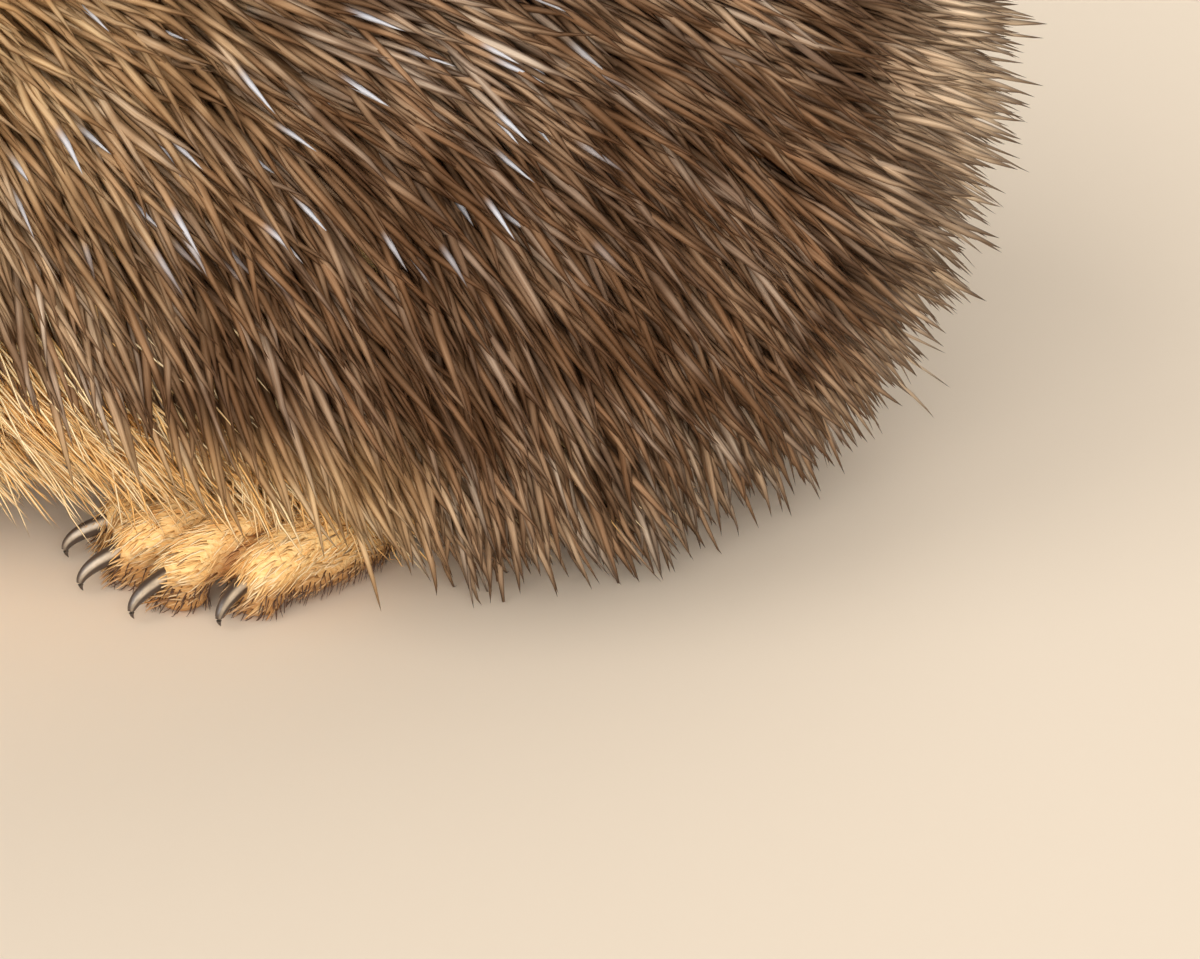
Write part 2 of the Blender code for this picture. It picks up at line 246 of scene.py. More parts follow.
def ball(centre, radii, rings=24, sides=32):
    """An ellipsoid grid: centre + radii * (sin v cos u, cos v, sin v sin u), its poles along Y."""
    v = np.linspace(0.02, math.pi - 0.02, rings)[:, None]
    u = circle(sides)[None, :]
    shape = np.stack([np.sin(v) * np.cos(u), -np.cos(v) + 0 * u, -np.sin(v) * np.sin(u)], axis=-1)
    return np.asarray(centre) + shape * np.asarray(radii)


# ---------------------------------------------------------------- shape of the body under its coat

# The flesh from the muzzle to the rump: y, lowest z, z of the widest level, highest z, half width.
FLESH = np.array([
    (-0.1170, 0.0282, 0.0310, 0.0336, 0.0030),  # inside the nose
    (-0.1145, 0.0262, 0.0303, 0.0347, 0.0046),  # behind the nose
    (-0.1080, 0.0236, 0.0291, 0.0366, 0.0060),  # muzzle
    (-0.1010, 0.0220, 0.0292, 0.0399, 0.0083),
    (-0.0940, 0.0210, 0.0303, 0.0448, 0.0114),
    (-0.0880, 0.0204, 0.0323, 0.0513, 0.0150),  # brow
    (-0.0810, 0.0200, 0.0350, 0.0600, 0.0192),  # cheeks
    (-0.0720, 0.0198, 0.0385, 0.0704, 0.0236),  # ears
    (-0.0610, 0.0194, 0.0415, 0.0827, 0.0290),  # nape
    (-0.0460, 0.0184, 0.0430, 0.0962, 0.0362),  # shoulders
    (-0.0220, 0.0165, 0.0432, 0.1090, 0.0458),
    (0.0100, 0.0150, 0.0428, 0.1175, 0.0538),  # back
    (0.0420, 0.0142, 0.0430, 0.1188, 0.0572),  # loins
    (0.0700, 0.0150, 0.0460, 0.1160, 0.0560),
    (0.0900, 0.0165, 0.0540, 0.1110, 0.0545),
    (0.0985, 0.0180, 0.0610, 0.1070, 0.0535),  # rump
])
RUMP_START = 0.030
RUMP_END = 0.0985
RUMP_ROUND = 2.4
LOW_RUMP_ROUND = 3.2  # fuller in the lower half
DOME_ROUND = 2.1
BELLY_ROUND = 2.5


def stations(y):
    """Low, widest and high level and half width at each y: Hermite cubics through the rows of FLESH."""
    at, values = FLESH[:, 0], FLESH[:, 1:]
    slopes = np.gradient(values, at, axis=0)
    row = np.clip(np.searchsorted(at, y) - 1, 0, len(at) - 2)
    step = (at[row + 1] - at[row])[:, None]
    t = (y[:, None] - at[row][:, None]) / step
    return (
        (2 * t**3 - 3 * t**2 + 1) * values[row]
        + (t**3 - 2 * t**2 + t) * step * slopes[row]
        + (3 * t**2 - 2 * t**3) * values[row + 1]
        + (t**3 - t**2) * step * slopes[row + 1]
    )


def rump_shrink(y, power=RUMP_ROUND):
    """How much the sections near the rump shrink: (1 - past^k)^(1/k)."""
    past = np.clip((y - RUMP_START) / (RUMP_END - RUMP_START), 0, 1)
    return (1 - past**power) ** (1 / power)


BODY_RINGS = 130
BODY_SIDES = 96


def body_grid():
    """Superellipse sections of the flesh from the muzzle to the rump, closer together at the ends."""
    along = 0.5 - 0.5 * np.cos(np.linspace(0, math.pi, BODY_RINGS))
    y = FLESH[0, 0] + (RUMP_END - FLESH[0, 0]) * along * 0.9999
    low, widest, high, half_width = stations(y).T
    shrink = rump_shrink(y)
    around = circle(BODY_SIDES)
    side, up = np.cos(around)[None, :], -np.sin(around)[None, :]
    power = np.where(up > 0, DOME_ROUND, BELLY_ROUND)
    below = ((widest - low) * rump_shrink(y, LOW_RUMP_ROUND))[:, None]
    height = np.where(up > 0, ((high - widest) * shrink)[:, None], below)
    x = (half_width * shrink)[:, None] * np.sign(side) * np.abs(side) ** (2 / power)
    z = widest[:, None] + height * np.sign(up) * np.abs(up) ** (2 / power)
    return np.stack([x, np.repeat(y[:, None], BODY_SIDES, axis=1), z], axis=-1)


# Each toe: how far its claw reaches forward of the heel, how far outward, and its heading in degrees.
HIND_TOES = (
    (0.0300, -0.0172, -34),
    (0.0426, -0.0110, -12),
    (0.0444, -0.0014, 2),
    (0.0417, 0.0086, 14),
    (0.0330, 0.0152, 28),
)
FORE_TOES = (
    (0.0200, -0.0128, -40),
    (0.0295, -0.0083, -16),
    (0.0325, 0.0000, 0),
    (0.0298, 0.0080, 15),
    (0.0215, 0.0130, 36),
)
# A foot: its toes, half length, half width and half height of its palm, radius of a toe, claw that shows.
HIND_FOOT = {"toes": HIND_TOES, "palm": (0.0140, 0.0115, 0.0082), "toe": 0.0046, "claw": 0.0070}
FORE_FOOT = {"toes": FORE_TOES, "palm": (0.0098, 0.0092, 0.0076), "toe": 0.0040, "claw": 0.0078}
PALM_HEIGHT = 0.0042
PALM_INSET = 0.0010
TOE_COVER = 0.0022  # how far a toe's flesh covers its claw
# A toe's root, knuckle and end, and the pad outside the outer toe: shares of the way from the heel to the
# toe's tip, forward and outward.
TOE_COURSE = ((0.34, 0.50), (0.70, 0.96), (1.0, 1.0))
TOE_RISE = (0.0030, 0.0068, -0.0004)  # over the toe's radius, at the same three places
TOE_SWELL = (0.95, 0.80, 0.94)
OUTER_PAD_COURSE = ((0.9, 0.92), (0.55, 0.84), (0.20, 0.40))
OUTER_PAD_RADII = (0.0030, 0.0031, 0.0026)
OUTER_PAD_HEIGHT = 0.0038
FOOT_FUR = 0.0009  # the flesh of a foot lies this far inside its fur
LEG_FUR = 0.0016
CLAW_BASE_HEIGHT = 0.0050
CLAW_TIP_HEIGHT = 0.0007
CLAW_BEND = math.radians(106)
CLAW_ROOT = 1.25
CLAW_RADIUS = 0.00135

# Each leg: foot, heel on the floor, how far the foot turns out, and the leg's path and radii.
LEGS = {
    "hind_left": {
        "foot": HIND_FOOT, "heel": (0.0255, 0.0425), "turn": math.radians(26),
        "path": ((0.0285, 0.0355, 0.0070), (0.0295, 0.0310, 0.0160), (0.0310, 0.0220, 0.0330)),
        "radii": (0.0068, 0.0080, 0.0115),
    },
    "hind_right": {
        "foot": HIND_FOOT, "heel": (-0.0270, 0.0740), "turn": math.radians(20),
        "path": ((-0.0290, 0.0670, 0.0070), (-0.0298, 0.0610, 0.0160), (-0.0310, 0.0500, 0.0330)),
        "radii": (0.0068, 0.0080, 0.0115),
    },
    "fore_left": {
        "foot": FORE_FOOT, "heel": (0.0270, -0.0290), "turn": math.radians(12),
        "path": ((0.0277, -0.0335, 0.0060), (0.0277, -0.0290, 0.0180), (0.0287, -0.0210, 0.0380)),
        "radii": (0.0060, 0.0066, 0.0100),
    },
    "fore_right": {
        "foot": FORE_FOOT, "heel": (-0.0250, -0.0520), "turn": math.radians(8),
        "path": ((-0.0255, -0.0565, 0.0060), (-0.0262, -0.0500, 0.0180), (-0.0285, -0.0390, 0.0380)),
        "radii": (0.0060, 0.0066, 0.0100),
    },
}


def foot_point(leg, forward, outward, height):
    """A point of a foot, from its distances in front of and outward from the heel."""
    heel, turn = LEGS[leg]["heel"], LEGS[leg]["turn"]
    mirror = 1 if heel[0] > 0 else -1
    x = forward * math.sin(turn) + outward * math.cos(turn)
    y = outward * math.sin(turn) - forward * math.cos(turn)
    return np.array([heel[0] + mirror * x, heel[1] + y, height])


def foot_axes(leg):
    """Unit vectors along a foot, towards its toes, and outward across it."""
    origin = foot_point(leg, 0, 0, 0)
    return foot_point(leg, 1, 0, 0) - origin, foot_point(leg, 0, 1, 0) - origin


def toe_tip(plan, toe):
    """Where a toe's flesh ends: its claw's reach less the claw that shows."""
    forward, outward, heading = toe
    course = math.radians(heading)
    back = plan["claw"] - TOE_COVER
    return forward - back * math.cos(course), outward - back * math.sin(course)


def foot_course(leg, tip, course, heights):
    """Points of a foot at shares of the way to a toe's tip, each at its own height."""
    shares = zip(course, heights)
    return [foot_point(leg, ahead * tip[0], out * tip[1], height) for (ahead, out), height in shares]


def foot_grids(leg):
    """Palm, toes with a knuckle and a pad each, a pad along the outer toe, and the leg above them."""
    plan = LEGS[leg]["foot"]
    length, width, height = plan["palm"]
    ahead, outward = foot_axes(leg)
    shape = ball((0, 0, 0), (width - 1.8 * FOOT_FUR, length - FOOT_FUR, height - 1.9 * FOOT_FUR))
    palm = shape[..., :1] * outward - shape[..., 1:2] * ahead + shape[..., 2:] * UP
    # The handedness of the turned ball doesn't matter: the remesh reads only its volume.
    grids = [palm + foot_point(leg, length + PALM_INSET, 0, PALM_HEIGHT)]
    for toe in plan["toes"]:
        tip = toe_tip(plan, toe)
        radius = plan["toe"] - FOOT_FUR * 0.7
        course = foot_course(leg, tip, TOE_COURSE, [radius + rise for rise in TOE_RISE])
        grids.append(sausage(course, [radius * swell for swell in TOE_SWELL], 0.3, 0.3))
        pad = foot_point(leg, 0.93 * tip[0], 0.96 * tip[1], radius * 0.55)
        grids.append(ball(pad, (radius * 0.70, radius * 0.84, radius * 0.6), 14, 18))
    tip = toe_tip(plan, plan["toes"][-1])
    edge = foot_course(leg, tip, OUTER_PAD_COURSE, [OUTER_PAD_HEIGHT] * 3)
    grids.append(sausage(edge, OUTER_PAD_RADII, 0.3, 0.3))
    path, radii = LEGS[leg]["path"], np.array(LEGS[leg]["radii"]) - LEG_FUR * 0.5
    grids.append(sausage(path, radii, 0.3, 0.2))
    return grids


EAR = np.array([0.0272, -0.0700, 0.0592])
EAR_SIZE = np.array([0.0088, 0.0011, 0.0104])  # half width, thickness and height
EAR_CUP = 34.0  # how strongly the blade curves, per metre
EAR_HOLLOW = 0.0030
EAR_ROOT = ((0.0130, -0.0640, 0.0470), (0.0205, -0.0660, 0.0515), (0.0252, -0.0668, 0.0568))
EAR_ROOT_RADII = (0.0090, 0.0076, 0.0040)
EAR_TURN = math.radians(38)
EAR_LEAN = math.radians(24)


def ear_turn(mirror):
    """The matrix that leans an ear about the Y axis and then turns it about the Z axis."""
    c, s = math.cos(mirror * EAR_LEAN), math.sin(mirror * EAR_LEAN)
    lean = np.array([[c, 0, s], [0, 1, 0], [-s, 0, c]])
    c, s = math.cos(mirror * EAR_TURN), math.sin(mirror * EAR_TURN)
    turn = np.array([[c, -s, 0], [s, c, 0], [0, 0, 1]])
    return turn @ lean


def ear_middle(x, z):
    """How far back the middle of an ear's blade lies: -cup (x^2 + z^2 / 2) with a hollow low down."""
    hollow = np.exp(-((x / 0.0046) ** 2) - ((z + 0.0035) / 0.0052) ** 2)
    return EAR_HOLLOW * hollow - EAR_CUP * (x**2 + 0.5 * z**2)


def ear_grid(mirror):
    """A cupped blade round its middle surface, narrow where it joins the head. Its thickness follows the
    square root of an ellipsoid's, so that the rim is round and not sharp."""
    shape = ball((0, 0, 0), EAR_SIZE, 30, 48)
    x, y, z = shape[..., 0], shape[..., 1], shape[..., 2]
    y = np.sign(y) * EAR_SIZE[1] * np.sqrt(np.abs(y) / EAR_SIZE[1])
    x = x * (1 - 0.36 * smooth_step(-z, 0.001, 0.010))
    reach = np.sqrt((x / EAR_SIZE[0]) ** 2 + (z / EAR_SIZE[2]) ** 2)
    y = y + ear_middle(x, z) - 0.0009 * smooth_step(reach, 0.75, 1.0)
    return np.stack([x, y, z], axis=-1) @ ear_turn(mirror).T + EAR * np.array([mirror, 1, 1])


TAIL_PATH = ((0, 0.070, 0.030), (0, 0.084, 0.0240), (0, 0.092, 0.0185), (0, 0.0975, 0.0135))
TAIL_RADII = (0.0060, 0.0042, 0.0032, 0.0018)


def skin_volume():
    """Body, tail, legs with feet, and ears with their roots, as closed grids."""
    grids = [body_grid(), sausage(TAIL_PATH, TAIL_RADII)]
    for leg in LEGS:
        grids += foot_grids(leg)
    for mirror in (1, -1):
        grids.append(ear_grid(mirror))
        grids.append(sausage(np.array(EAR_ROOT) * [mirror, 1, 1], EAR_ROOT_RADII))
    return joined(grids)


VOXEL = 0.00085
SKIN_SMOOTHING = 2


def outward_mesh(name, points, faces):
    """A mesh whose faces are all turned outwards."""
    mesh = bpy.data.meshes.new(name)
    fill_mesh(mesh, points, faces)
    work = bmesh.new()
    work.from_mesh(mesh)
    bmesh.ops.recalc_face_normals(work, faces=work.faces)
    work.to_mesh(mesh)
    work.free()
    return mesh


def as_modified(piece):
    """The piece's mesh as its modifiers leave it. The piece itself goes."""
    graph = bpy.context.evaluated_depsgraph_get()
    name, before = piece.name, piece.data
    after = bpy.data.meshes.new_from_object(piece.evaluated_get(graph))
    bpy.data.objects.remove(piece)
    bpy.data.meshes.remove(before)
    after.name = name
    return after


def remeshed(points, faces):
    """One even skin round all the volumes, with the corners between them rounded off."""
    piece = add_piece("skin", outward_mesh("skin", points, faces))
    remesh = piece.modifiers.new("even", "REMESH")
    remesh.mode = "VOXEL"
    remesh.voxel_size = VOXEL
    soften = piece.modifiers.new("soften", "SMOOTH")
    soften.factor = 0.5
    soften.iterations = SKIN_SMOOTHING
    return as_modified(piece)


def moved(mesh, points):
    """Puts a mesh's points at new places."""
    mesh.vertices.foreach_set("co", points.astype(np.float32).ravel())
    mesh.update()


def points_of(mesh):
    """The mesh's points as an array."""
    points = np.empty(len(mesh.vertices) * 3)
    mesh.vertices.foreach_get("co", points)
    return points.reshape(-1, 3)


def normals_of(mesh):
    """The mesh's vertex normals as an array."""
    normals = np.empty(len(mesh.vertices) * 3)
    mesh.vertex_normals.foreach_get("vector", normals)
    return normals.reshape(-1, 3)


def refine(mesh, chosen):
    """Splits the edges whose two ends the function chosen picks, to leave room for fine detail."""
    picked = chosen(points_of(mesh))
    work = bmesh.new()
    work.from_mesh(mesh)
    flags = dict(zip(work.verts, picked))
    edges = [edge for edge in work.edges if flags[edge.verts[0]] and flags[edge.verts[1]]]
    bmesh.ops.subdivide_edges(work, edges=edges, cuts=1, use_grid_fill=True, smooth=0.0)
    bmesh.ops.triangulate(work, faces=[face for face in work.faces if len(face.verts) > 4])
    work.to_mesh(mesh)
    work.free()


# ---------------------------------------------------------------- face


def eye_of(side):
    """Centre and radius of an eye, from its solid."""
    low, high = (np.array(corner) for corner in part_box(f"eye_{side}"))
    return (low + high) / 2, float((high - low)[2]) / 2


def eye_axes(side):
    """Unit vectors out of the eye, along the lids towards the nose, and up across them."""
    mirror = 1 if side == "left" else -1
    out = unit(np.array([0.86 * mirror, -0.42, 0.30]))
    ahead = np.array([0.10 * mirror, -1.0, -0.32])
    ahead = unit(ahead - out * np.dot(ahead, out))
    over = np.cross(out, ahead) * -mirror
    return out, ahead, over * np.sign(over[2])


LID_LENGTH = 0.90  # half length and half height of the opening, over the eye's radius
LID_HEIGHT = 0.74
LID_THICKNESS = 0.00045


def open_lids(points):
    """Lids that hug each eye: inside the opening the skin drops behind the eye, round it the skin
    lies on a sphere a lid's thickness outside the eye, and it fades into the face further out."""
    for side in ("left", "right"):
        centre, radius = eye_of(side)
        out, ahead, over = eye_axes(side)
        offset = points - centre
        along, across, depth = offset @ ahead, offset @ over, offset @ out
        reach = np.sqrt((along / (LID_LENGTH * radius)) ** 2 + (across / (LID_HEIGHT * radius)) ** 2)
        near = (depth > -1.2 * radius) & (reach < 3.2)
        flat = np.sqrt(along**2 + across**2)
        shell = radius + LID_THICKNESS + 0.0003 * smooth_step(reach, 1.0, 1.25)
        on_shell = np.sqrt(np.clip(shell**2 - flat**2, 0, None))
        rim = np.where(flat < shell * 0.97, on_shell, depth)
        lid = smooth_step(reach, 2.3, 1.25) * near
        target = depth + (np.maximum(rim, depth - 0.3 * radius) - depth) * lid
        hole = smooth_step(reach, 1.0, 0.86) * near
        target = target + (-0.5 * radius - target) * hole
        crease = np.exp(-(((reach - 1.75) / 0.16) ** 2)) * near * 0.00022
        points = points + ((target - depth) - crease)[:, None] * out
    return points


MOUTH_LINE = np.array([
    (0.0000, -0.1150, 0.0264),
    (0.0038, -0.1115, 0.0256),
    (0.0063, -0.1050, 0.0246),
    (0.0088, -0.0980, 0.0243),
    (0.0116, -0.0920, 0.0250),
])


def folded(points):
    """Points of the right side folded over to the left."""
    return np.stack([np.abs(points[:, 0]), points[:, 1], points[:, 2]], axis=1)


def mouth_distance(points):
    """Distance of each point from the line of the closed mouth, the same on both sides."""
    points = folded(points)
    best = np.full(len(points), 1.0)
    for start, end in zip(MOUTH_LINE[:-1], MOUTH_LINE[1:]):
        step = end - start
        t = np.clip((points - start) @ step / (step @ step), 0, 1)
        best = np.minimum(best, np.linalg.norm(points - start - t[:, None] * step, axis=1))
    return best


def swell(points, normals, centre, radii, amount):
    """Moves the skin out by amount * exp(-distance^2), with distance measured in radii, on both sides."""
    for mirror in (1, -1):
        away = (points - np.array(centre) * [mirror, 1, 1]) / np.array(radii)
        points = points + normals * (amount * np.exp(-(away**2).sum(axis=1)))[:, None]
    return points


# Swellings and hollows of the face: centre on the left side, radii, and how far the skin rises.
FACE_SWELLINGS = (
    ((0.0052, -0.1075, 0.0285), (0.0035, 0.0060, 0.0032), 0.0011),  # whisker pads
    ((0.0113, -0.0888, 0.0432), (0.0092, 0.0092, 0.0080), 0.0019),  # round the eyes
    ((0.0135, -0.0850, 0.0500), (0.0050, 0.0075, 0.0030), 0.0010),  # brow
    ((0.0175, -0.0820, 0.0290), (0.0080, 0.0100, 0.0080), 0.0016),  # cheeks
    ((0.0000, -0.1010, 0.0400), (0.0030, 0.0120, 0.0040), -0.0006),  # along the bridge
    ((0.0085, -0.0960, 0.0400), (0.0035, 0.0060, 0.0035), -0.0009),  # before the eyes
)


def sculpt_face(mesh):
    """Swellings and hollows, the mouth's groove between its lips, the groove under the nose, and the lids."""
    points, normals = points_of(mesh), normals_of(mesh)
    for centre, radii, amount in FACE_SWELLINGS:
        points = swell(points, normals, centre, radii, amount)
    groove = 0.0011 * np.exp(-((mouth_distance(points) / 0.00048) ** 2))
    lip = 0.0004 * np.exp(-(((mouth_distance(points) - 0.0014) / 0.0008) ** 2))
    front = smooth_step(points[:, 1], -0.1085, -0.1125) * smooth_step(points[:, 2], 0.0305, 0.0285)
    philtrum = 0.0005 * front * np.exp(-((points[:, 0] / 0.0005) ** 2))
    moved(mesh, open_lids(points + normals * (lip - groove - philtrum)[:, None]))


LID_REACH = 0.0085  # from an eye's centre


def near_eyes(points):
    """True within reach of the lids."""
    away = [np.linalg.norm(points - eye_of(side)[0], axis=1) for side in ("left", "right")]
    return np.min(away, axis=0) < LID_REACH


def front_of_face(points):
    """True from behind the eyes to the nose."""
    return (points[:, 1] < -0.083) & (points[:, 2] < 0.06)


def near_mouth(points):
    """True along the mouth's line and its lips."""
    return mouth_distance(points) < 0.0013


CLEFT_DEPTH = 0.0007
LOWEST_SKIN = 0.00002  # just clear of the floor


def finish_feet(mesh):
    """The skin sinks between the toes, and what would reach under the floor lies on it."""
    points = points_of(mesh)
    # The map of the feet's painted shade also sets how deep the clefts between the toes sink.
    deep = foot_cleft_and_sole_shade(points) * smooth_step(points[:, 2], 0.0045, 0.0070)
    points = points - normals_of(mesh) * (CLEFT_DEPTH * deep)[:, None]
    points[:, 2] = np.maximum(points[:, 2], LOWEST_SKIN)
    moved(mesh, points)


KEPT_SHARE = 0.46  # of the faces, once those under spines and belly hair are made larger


def thinned(mesh):
    """The skin with fewer, larger faces where the long coat covers it."""
    piece = add_piece("skin", mesh)
    group = piece.vertex_groups.new(name="covered")
    points = points_of(mesh)
    covered = (points[:, 1] > -0.060) & (points[:, 2] > 0.0165) & ~on_ear(points)
    group.add(np.flatnonzero(covered).tolist(), 1.0, "REPLACE")
    thin = piece.modifiers.new("thin", "DECIMATE")
    thin.ratio = KEPT_SHARE
    thin.vertex_group = "covered"
    return as_modified(piece)


def make_skin(material):
    """The whole skin: volumes, even mesh, then the detail of face and feet, and the markings and the feet's
    painted shade.
    """
    mesh = thinned(remeshed(*skin_volume()))
    for detailed in (front_of_face, near_eyes, near_mouth):
        refine(mesh, detailed)
    sculpt_face(mesh)
    finish_feet(mesh)
    mesh.shade_smooth()
    points = points_of(mesh)
    # Painted shade in the clefts between the toes and low round the feet.
    set_attribute(mesh, "foot_shade", foot_cleft_and_sole_shade(points))
    set_attribute(mesh, "dark", face_marks(points))
    between_lips = np.exp(-((mouth_distance(points) / 0.0009) ** 2))
    set_attribute(mesh, "seam", np.maximum(lid_edges(points), between_lips))
    skin = add_piece("skin", mesh, material)
    limbs = [f"{leg}_{part}" for leg in LEGS for part in ("leg", "foot")]
    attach(skin, "root")
    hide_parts("head", "lower_jaw", "neck", "trunk", "tail", "ear_left", "ear_right", *limbs)
    return skin


# ---------------------------------------------------------------- where and how the coat grows


def region_angle(points):
    """Angle round the body from the top of the back, 0 to pi, the same on both sides."""
    widest = np.interp(points[:, 1], FLESH[:, 0], FLESH[:, 2])
    return np.arctan2(np.abs(points[:, 0]), points[:, 2] - widest)


def ear_places(points):
    """For each ear, a point's own x and z on the blade and how far in front of its middle it is."""
    for mirror in (1, -1):
        x, y, z = ((points - EAR * np.array([mirror, 1, 1])) @ ear_turn(mirror)).T
        yield x, z, ear_middle(x, z) - y


def on_ear(points):
    """True on an ear's blade: near its middle surface and inside its rim."""
    found = np.zeros(len(points), bool)
    for x, z, front in ear_places(points):
        reach = (x / EAR_SIZE[0]) ** 2 + (z / EAR_SIZE[2]) ** 2
        found |= (np.abs(front) < 0.0030) & (reach < 1.35) & (z > -0.0092)
    return found


def in_ear(points):
    """1 inside an ear's cup and 0 on its rim and its back."""
    found = np.zeros(len(points))
    for x, z, front in ear_places(points):
        reach = np.sqrt((x / EAR_SIZE[0]) ** 2 + (z / EAR_SIZE[2]) ** 2)
        inside = smooth_step(front, -0.0002, 0.0006) * (front < 0.0045) * smooth_step(reach, 0.98, 0.75)
        found = np.maximum(found, inside)
    return found


# Where the spines start: degrees from the top of the back, and y.
MANTLE_EDGE = ((0, -0.0815), (22, -0.0790), (42, -0.0690), (60, -0.0625), (85, -0.0560), (120, -0.0430))
# Height of the lowest spines' roots: y and z.
SKIRT_LINE = (
    (-0.060, 0.0545),
    (-0.012, 0.0490),
    (0.012, 0.0385),
    (0.024, 0.0300),
    (0.036, 0.0225),
    (0.050, 0.0212),
    (0.075, 0.0240),
    (0.090, 0.0235),
    (0.098, 0.0180),
)


def along_line(values, line):
    """A value read off a line of (place, value) pairs."""
    return np.interp(values, *np.transpose(line))


def behind_edge(points):
    """How far behind the mantle's front edge a point lies."""
    return points[:, 1] - along_line(np.degrees(region_angle(points)), MANTLE_EDGE)


def over_skirt(points):
    """How far over the lowest spines' roots a point lies."""
    return points[:, 2] - along_line(points[:, 1], SKIRT_LINE)


def spiny(points):
    """1 where spines grow, falling to 0 over the mantle's front edge and the skirt's lower edge, and
    fewer on the golden flank over the thigh."""
    mantle = smooth_step(behind_edge(points), 0.0, 0.003)
    over = over_skirt(points)
    sparse = 0.76 * smooth_step(points[:, 1], 0.066, 0.040) * smooth_step(over, 0.021, 0.008)
    skirt = smooth_step(over, -0.001, 0.002) * (1 - sparse)
    return mantle * skirt * ~on_ear(points)


FOOT_REACH = 0.040  # from the middle of a foot's palm
FEET_FRONT = -0.095  # in front of this only the chin is as low as a foot


def foot_share(points):
    """1 on the feet and 0 above the ankles."""
    return smooth_step(points[:, 2], 0.0150, 0.0110)


FACE_BACK = -0.066
BESIDE_NOSE = np.array([0.0052, -0.1120, 0.0335])


def face_marks(points):
    """How dark the face is, 0 to 1: along the top of the muzzle, at its tip, round the eyes with a streak
    towards the nose, and inside the ears. Brow, cheeks and the sides of the muzzle are light."""
    x, y, z = points.T
    widest, high = (np.interp(y, FLESH[:, 0], FLESH[:, column]) for column in (2, 3))
    height = (z - widest) / (high - widest)
    bridge = smooth_step(height, 0.30, 0.95) * smooth_step(y, -0.070, -0.092)
    bridge = bridge * smooth_step(np.abs(x), 0.012, 0.003)
    eye = eye_of("left")[0]
    offset = folded(points) - eye
    course = BESIDE_NOSE - eye
    share = np.clip(offset @ course / (course @ course), 0, 1)
    streak = np.exp(-((np.linalg.norm(offset - share[:, None] * course, axis=1) / 0.0034) ** 2))
    ring = np.exp(-((np.linalg.norm(offset, axis=1) / 0.0072) ** 2))
    tip = smooth_step(y, -0.1020, -0.1120) * 0.9
    dark = np.max([bridge * 0.95, streak * 0.8, ring * 1.2, tip], axis=0) * (y < FACE_BACK)
    dark = dark + 0.10 * wobble(points, 0.0050, 15) * (y < FACE_BACK)
    return np.clip(np.maximum(dark, 0.95 * in_ear(points)), 0, 1)


def foot_cleft_and_sole_shade(points):
    """How much painted shade a point of a foot gets: 1 in the clefts between the toes and low round the
    edge, 0 on top. The same map sinks the clefts.
    """
    foot_shade = np.zeros(len(points))
    for leg in LEGS:
        plan = LEGS[leg]["foot"]
        distances = []
        for toe in plan["toes"]:
            tip = toe_tip(plan, toe)
            nearest = np.full(len(points), np.inf)
            course = [point[:2] for point in foot_course(leg, tip, TOE_COURSE, (0, 0, 0))]
            for a, b in zip(course[:-1], course[1:]):
                along = np.clip((points[:, :2] - a) @ (b - a) / ((b - a) @ (b - a)), 0, 1)
                away = np.linalg.norm(points[:, :2] - a - along[:, None] * (b - a), axis=1)
                nearest = np.minimum(nearest, away)
            distances.append(nearest)
        first, second = np.sort(distances, axis=0)[:2]
        middle = foot_point(leg, plan["palm"][0], 0, 0)
        own = (np.linalg.norm((points - middle)[:, :2], axis=1) < FOOT_REACH) & (points[:, 2] < 0.020)
        ahead = (points - foot_point(leg, 0, 0, 0)) @ foot_axes(leg)[0]
        cleft = smooth_step(second - first, 0.0024, 0.0005)
        cleft = cleft * smooth_step(ahead, 0.75 * plan["palm"][0], 1.1 * plan["palm"][0])
        # Painted shade low round the foot, towards the floor.
        low = smooth_step(points[:, 2], 0.0070, 0.0024) * 0.85
        foot_shade = np.where(own, np.maximum(cleft, low), foot_shade)
    return foot_shade


ARC_Y = np.linspace(FLESH[0, 0], RUMP_END, 200)
ARC_RADIUS = 0.5 * (stations(ARC_Y)[:, 3] + stations(ARC_Y)[:, 2] / 2) * rump_shrink(ARC_Y)
ARC_LENGTH = np.concatenate([[0], np.cumsum(np.hypot(np.diff(ARC_Y), np.diff(ARC_RADIUS)))])
ARC_LENGTH = ARC_LENGTH / ARC_LENGTH[-1]


def unwrapped(points):
    """The skin laid flat. The body is cut along the belly and unrolled: across by its angle round Y and
    up by length along it. Each foot is a cell of its own under that, unrolled round its middle."""
    widest = np.interp(points[:, 1], FLESH[:, 0], FLESH[:, 2])
    around = np.arctan2(points[:, 0], points[:, 2] - widest) / (2 * math.pi) + 0.5
    flat = np.stack([0.01 + 0.98 * around, 0.22 + 0.77 * np.interp(points[:, 1], ARC_Y, ARC_LENGTH)], axis=1)
    low = foot_share(points) > 0.5
    for cell, leg in enumerate(LEGS):
        plan = LEGS[leg]["foot"]
        away = points - foot_point(leg, plan["palm"][0], 0, PALM_HEIGHT)
        own = low & (np.linalg.norm(away[:, :2], axis=1) < FOOT_REACH)
        turn = np.arctan2(away[:, 1], away[:, 0]) / (2 * math.pi) + 0.5
        rise = np.arccos(np.clip(-unit(away)[:, 2], -1, 1)) / math.pi
        spot = np.stack([(cell + 0.04 + 0.92 * turn) / 4, 0.01 + 0.19 * rise], axis=1)
        flat = np.where(own[:, None], spot, flat)
    return flat


CELL_STEPS = np.array([4000037, 2003, 1])  # so far apart that every cell gets a number of its own
DRAWS = 6  # for each root that the spacing has room for


def one_in_a_cell(points, spacing, shift):
    """Indices of the first point in each cell of a grid, in their own order."""
    cells = np.floor(points / spacing + shift).astype(np.int64)
    return np.sort(np.unique(cells @ CELL_STEPS, return_index=True)[1])


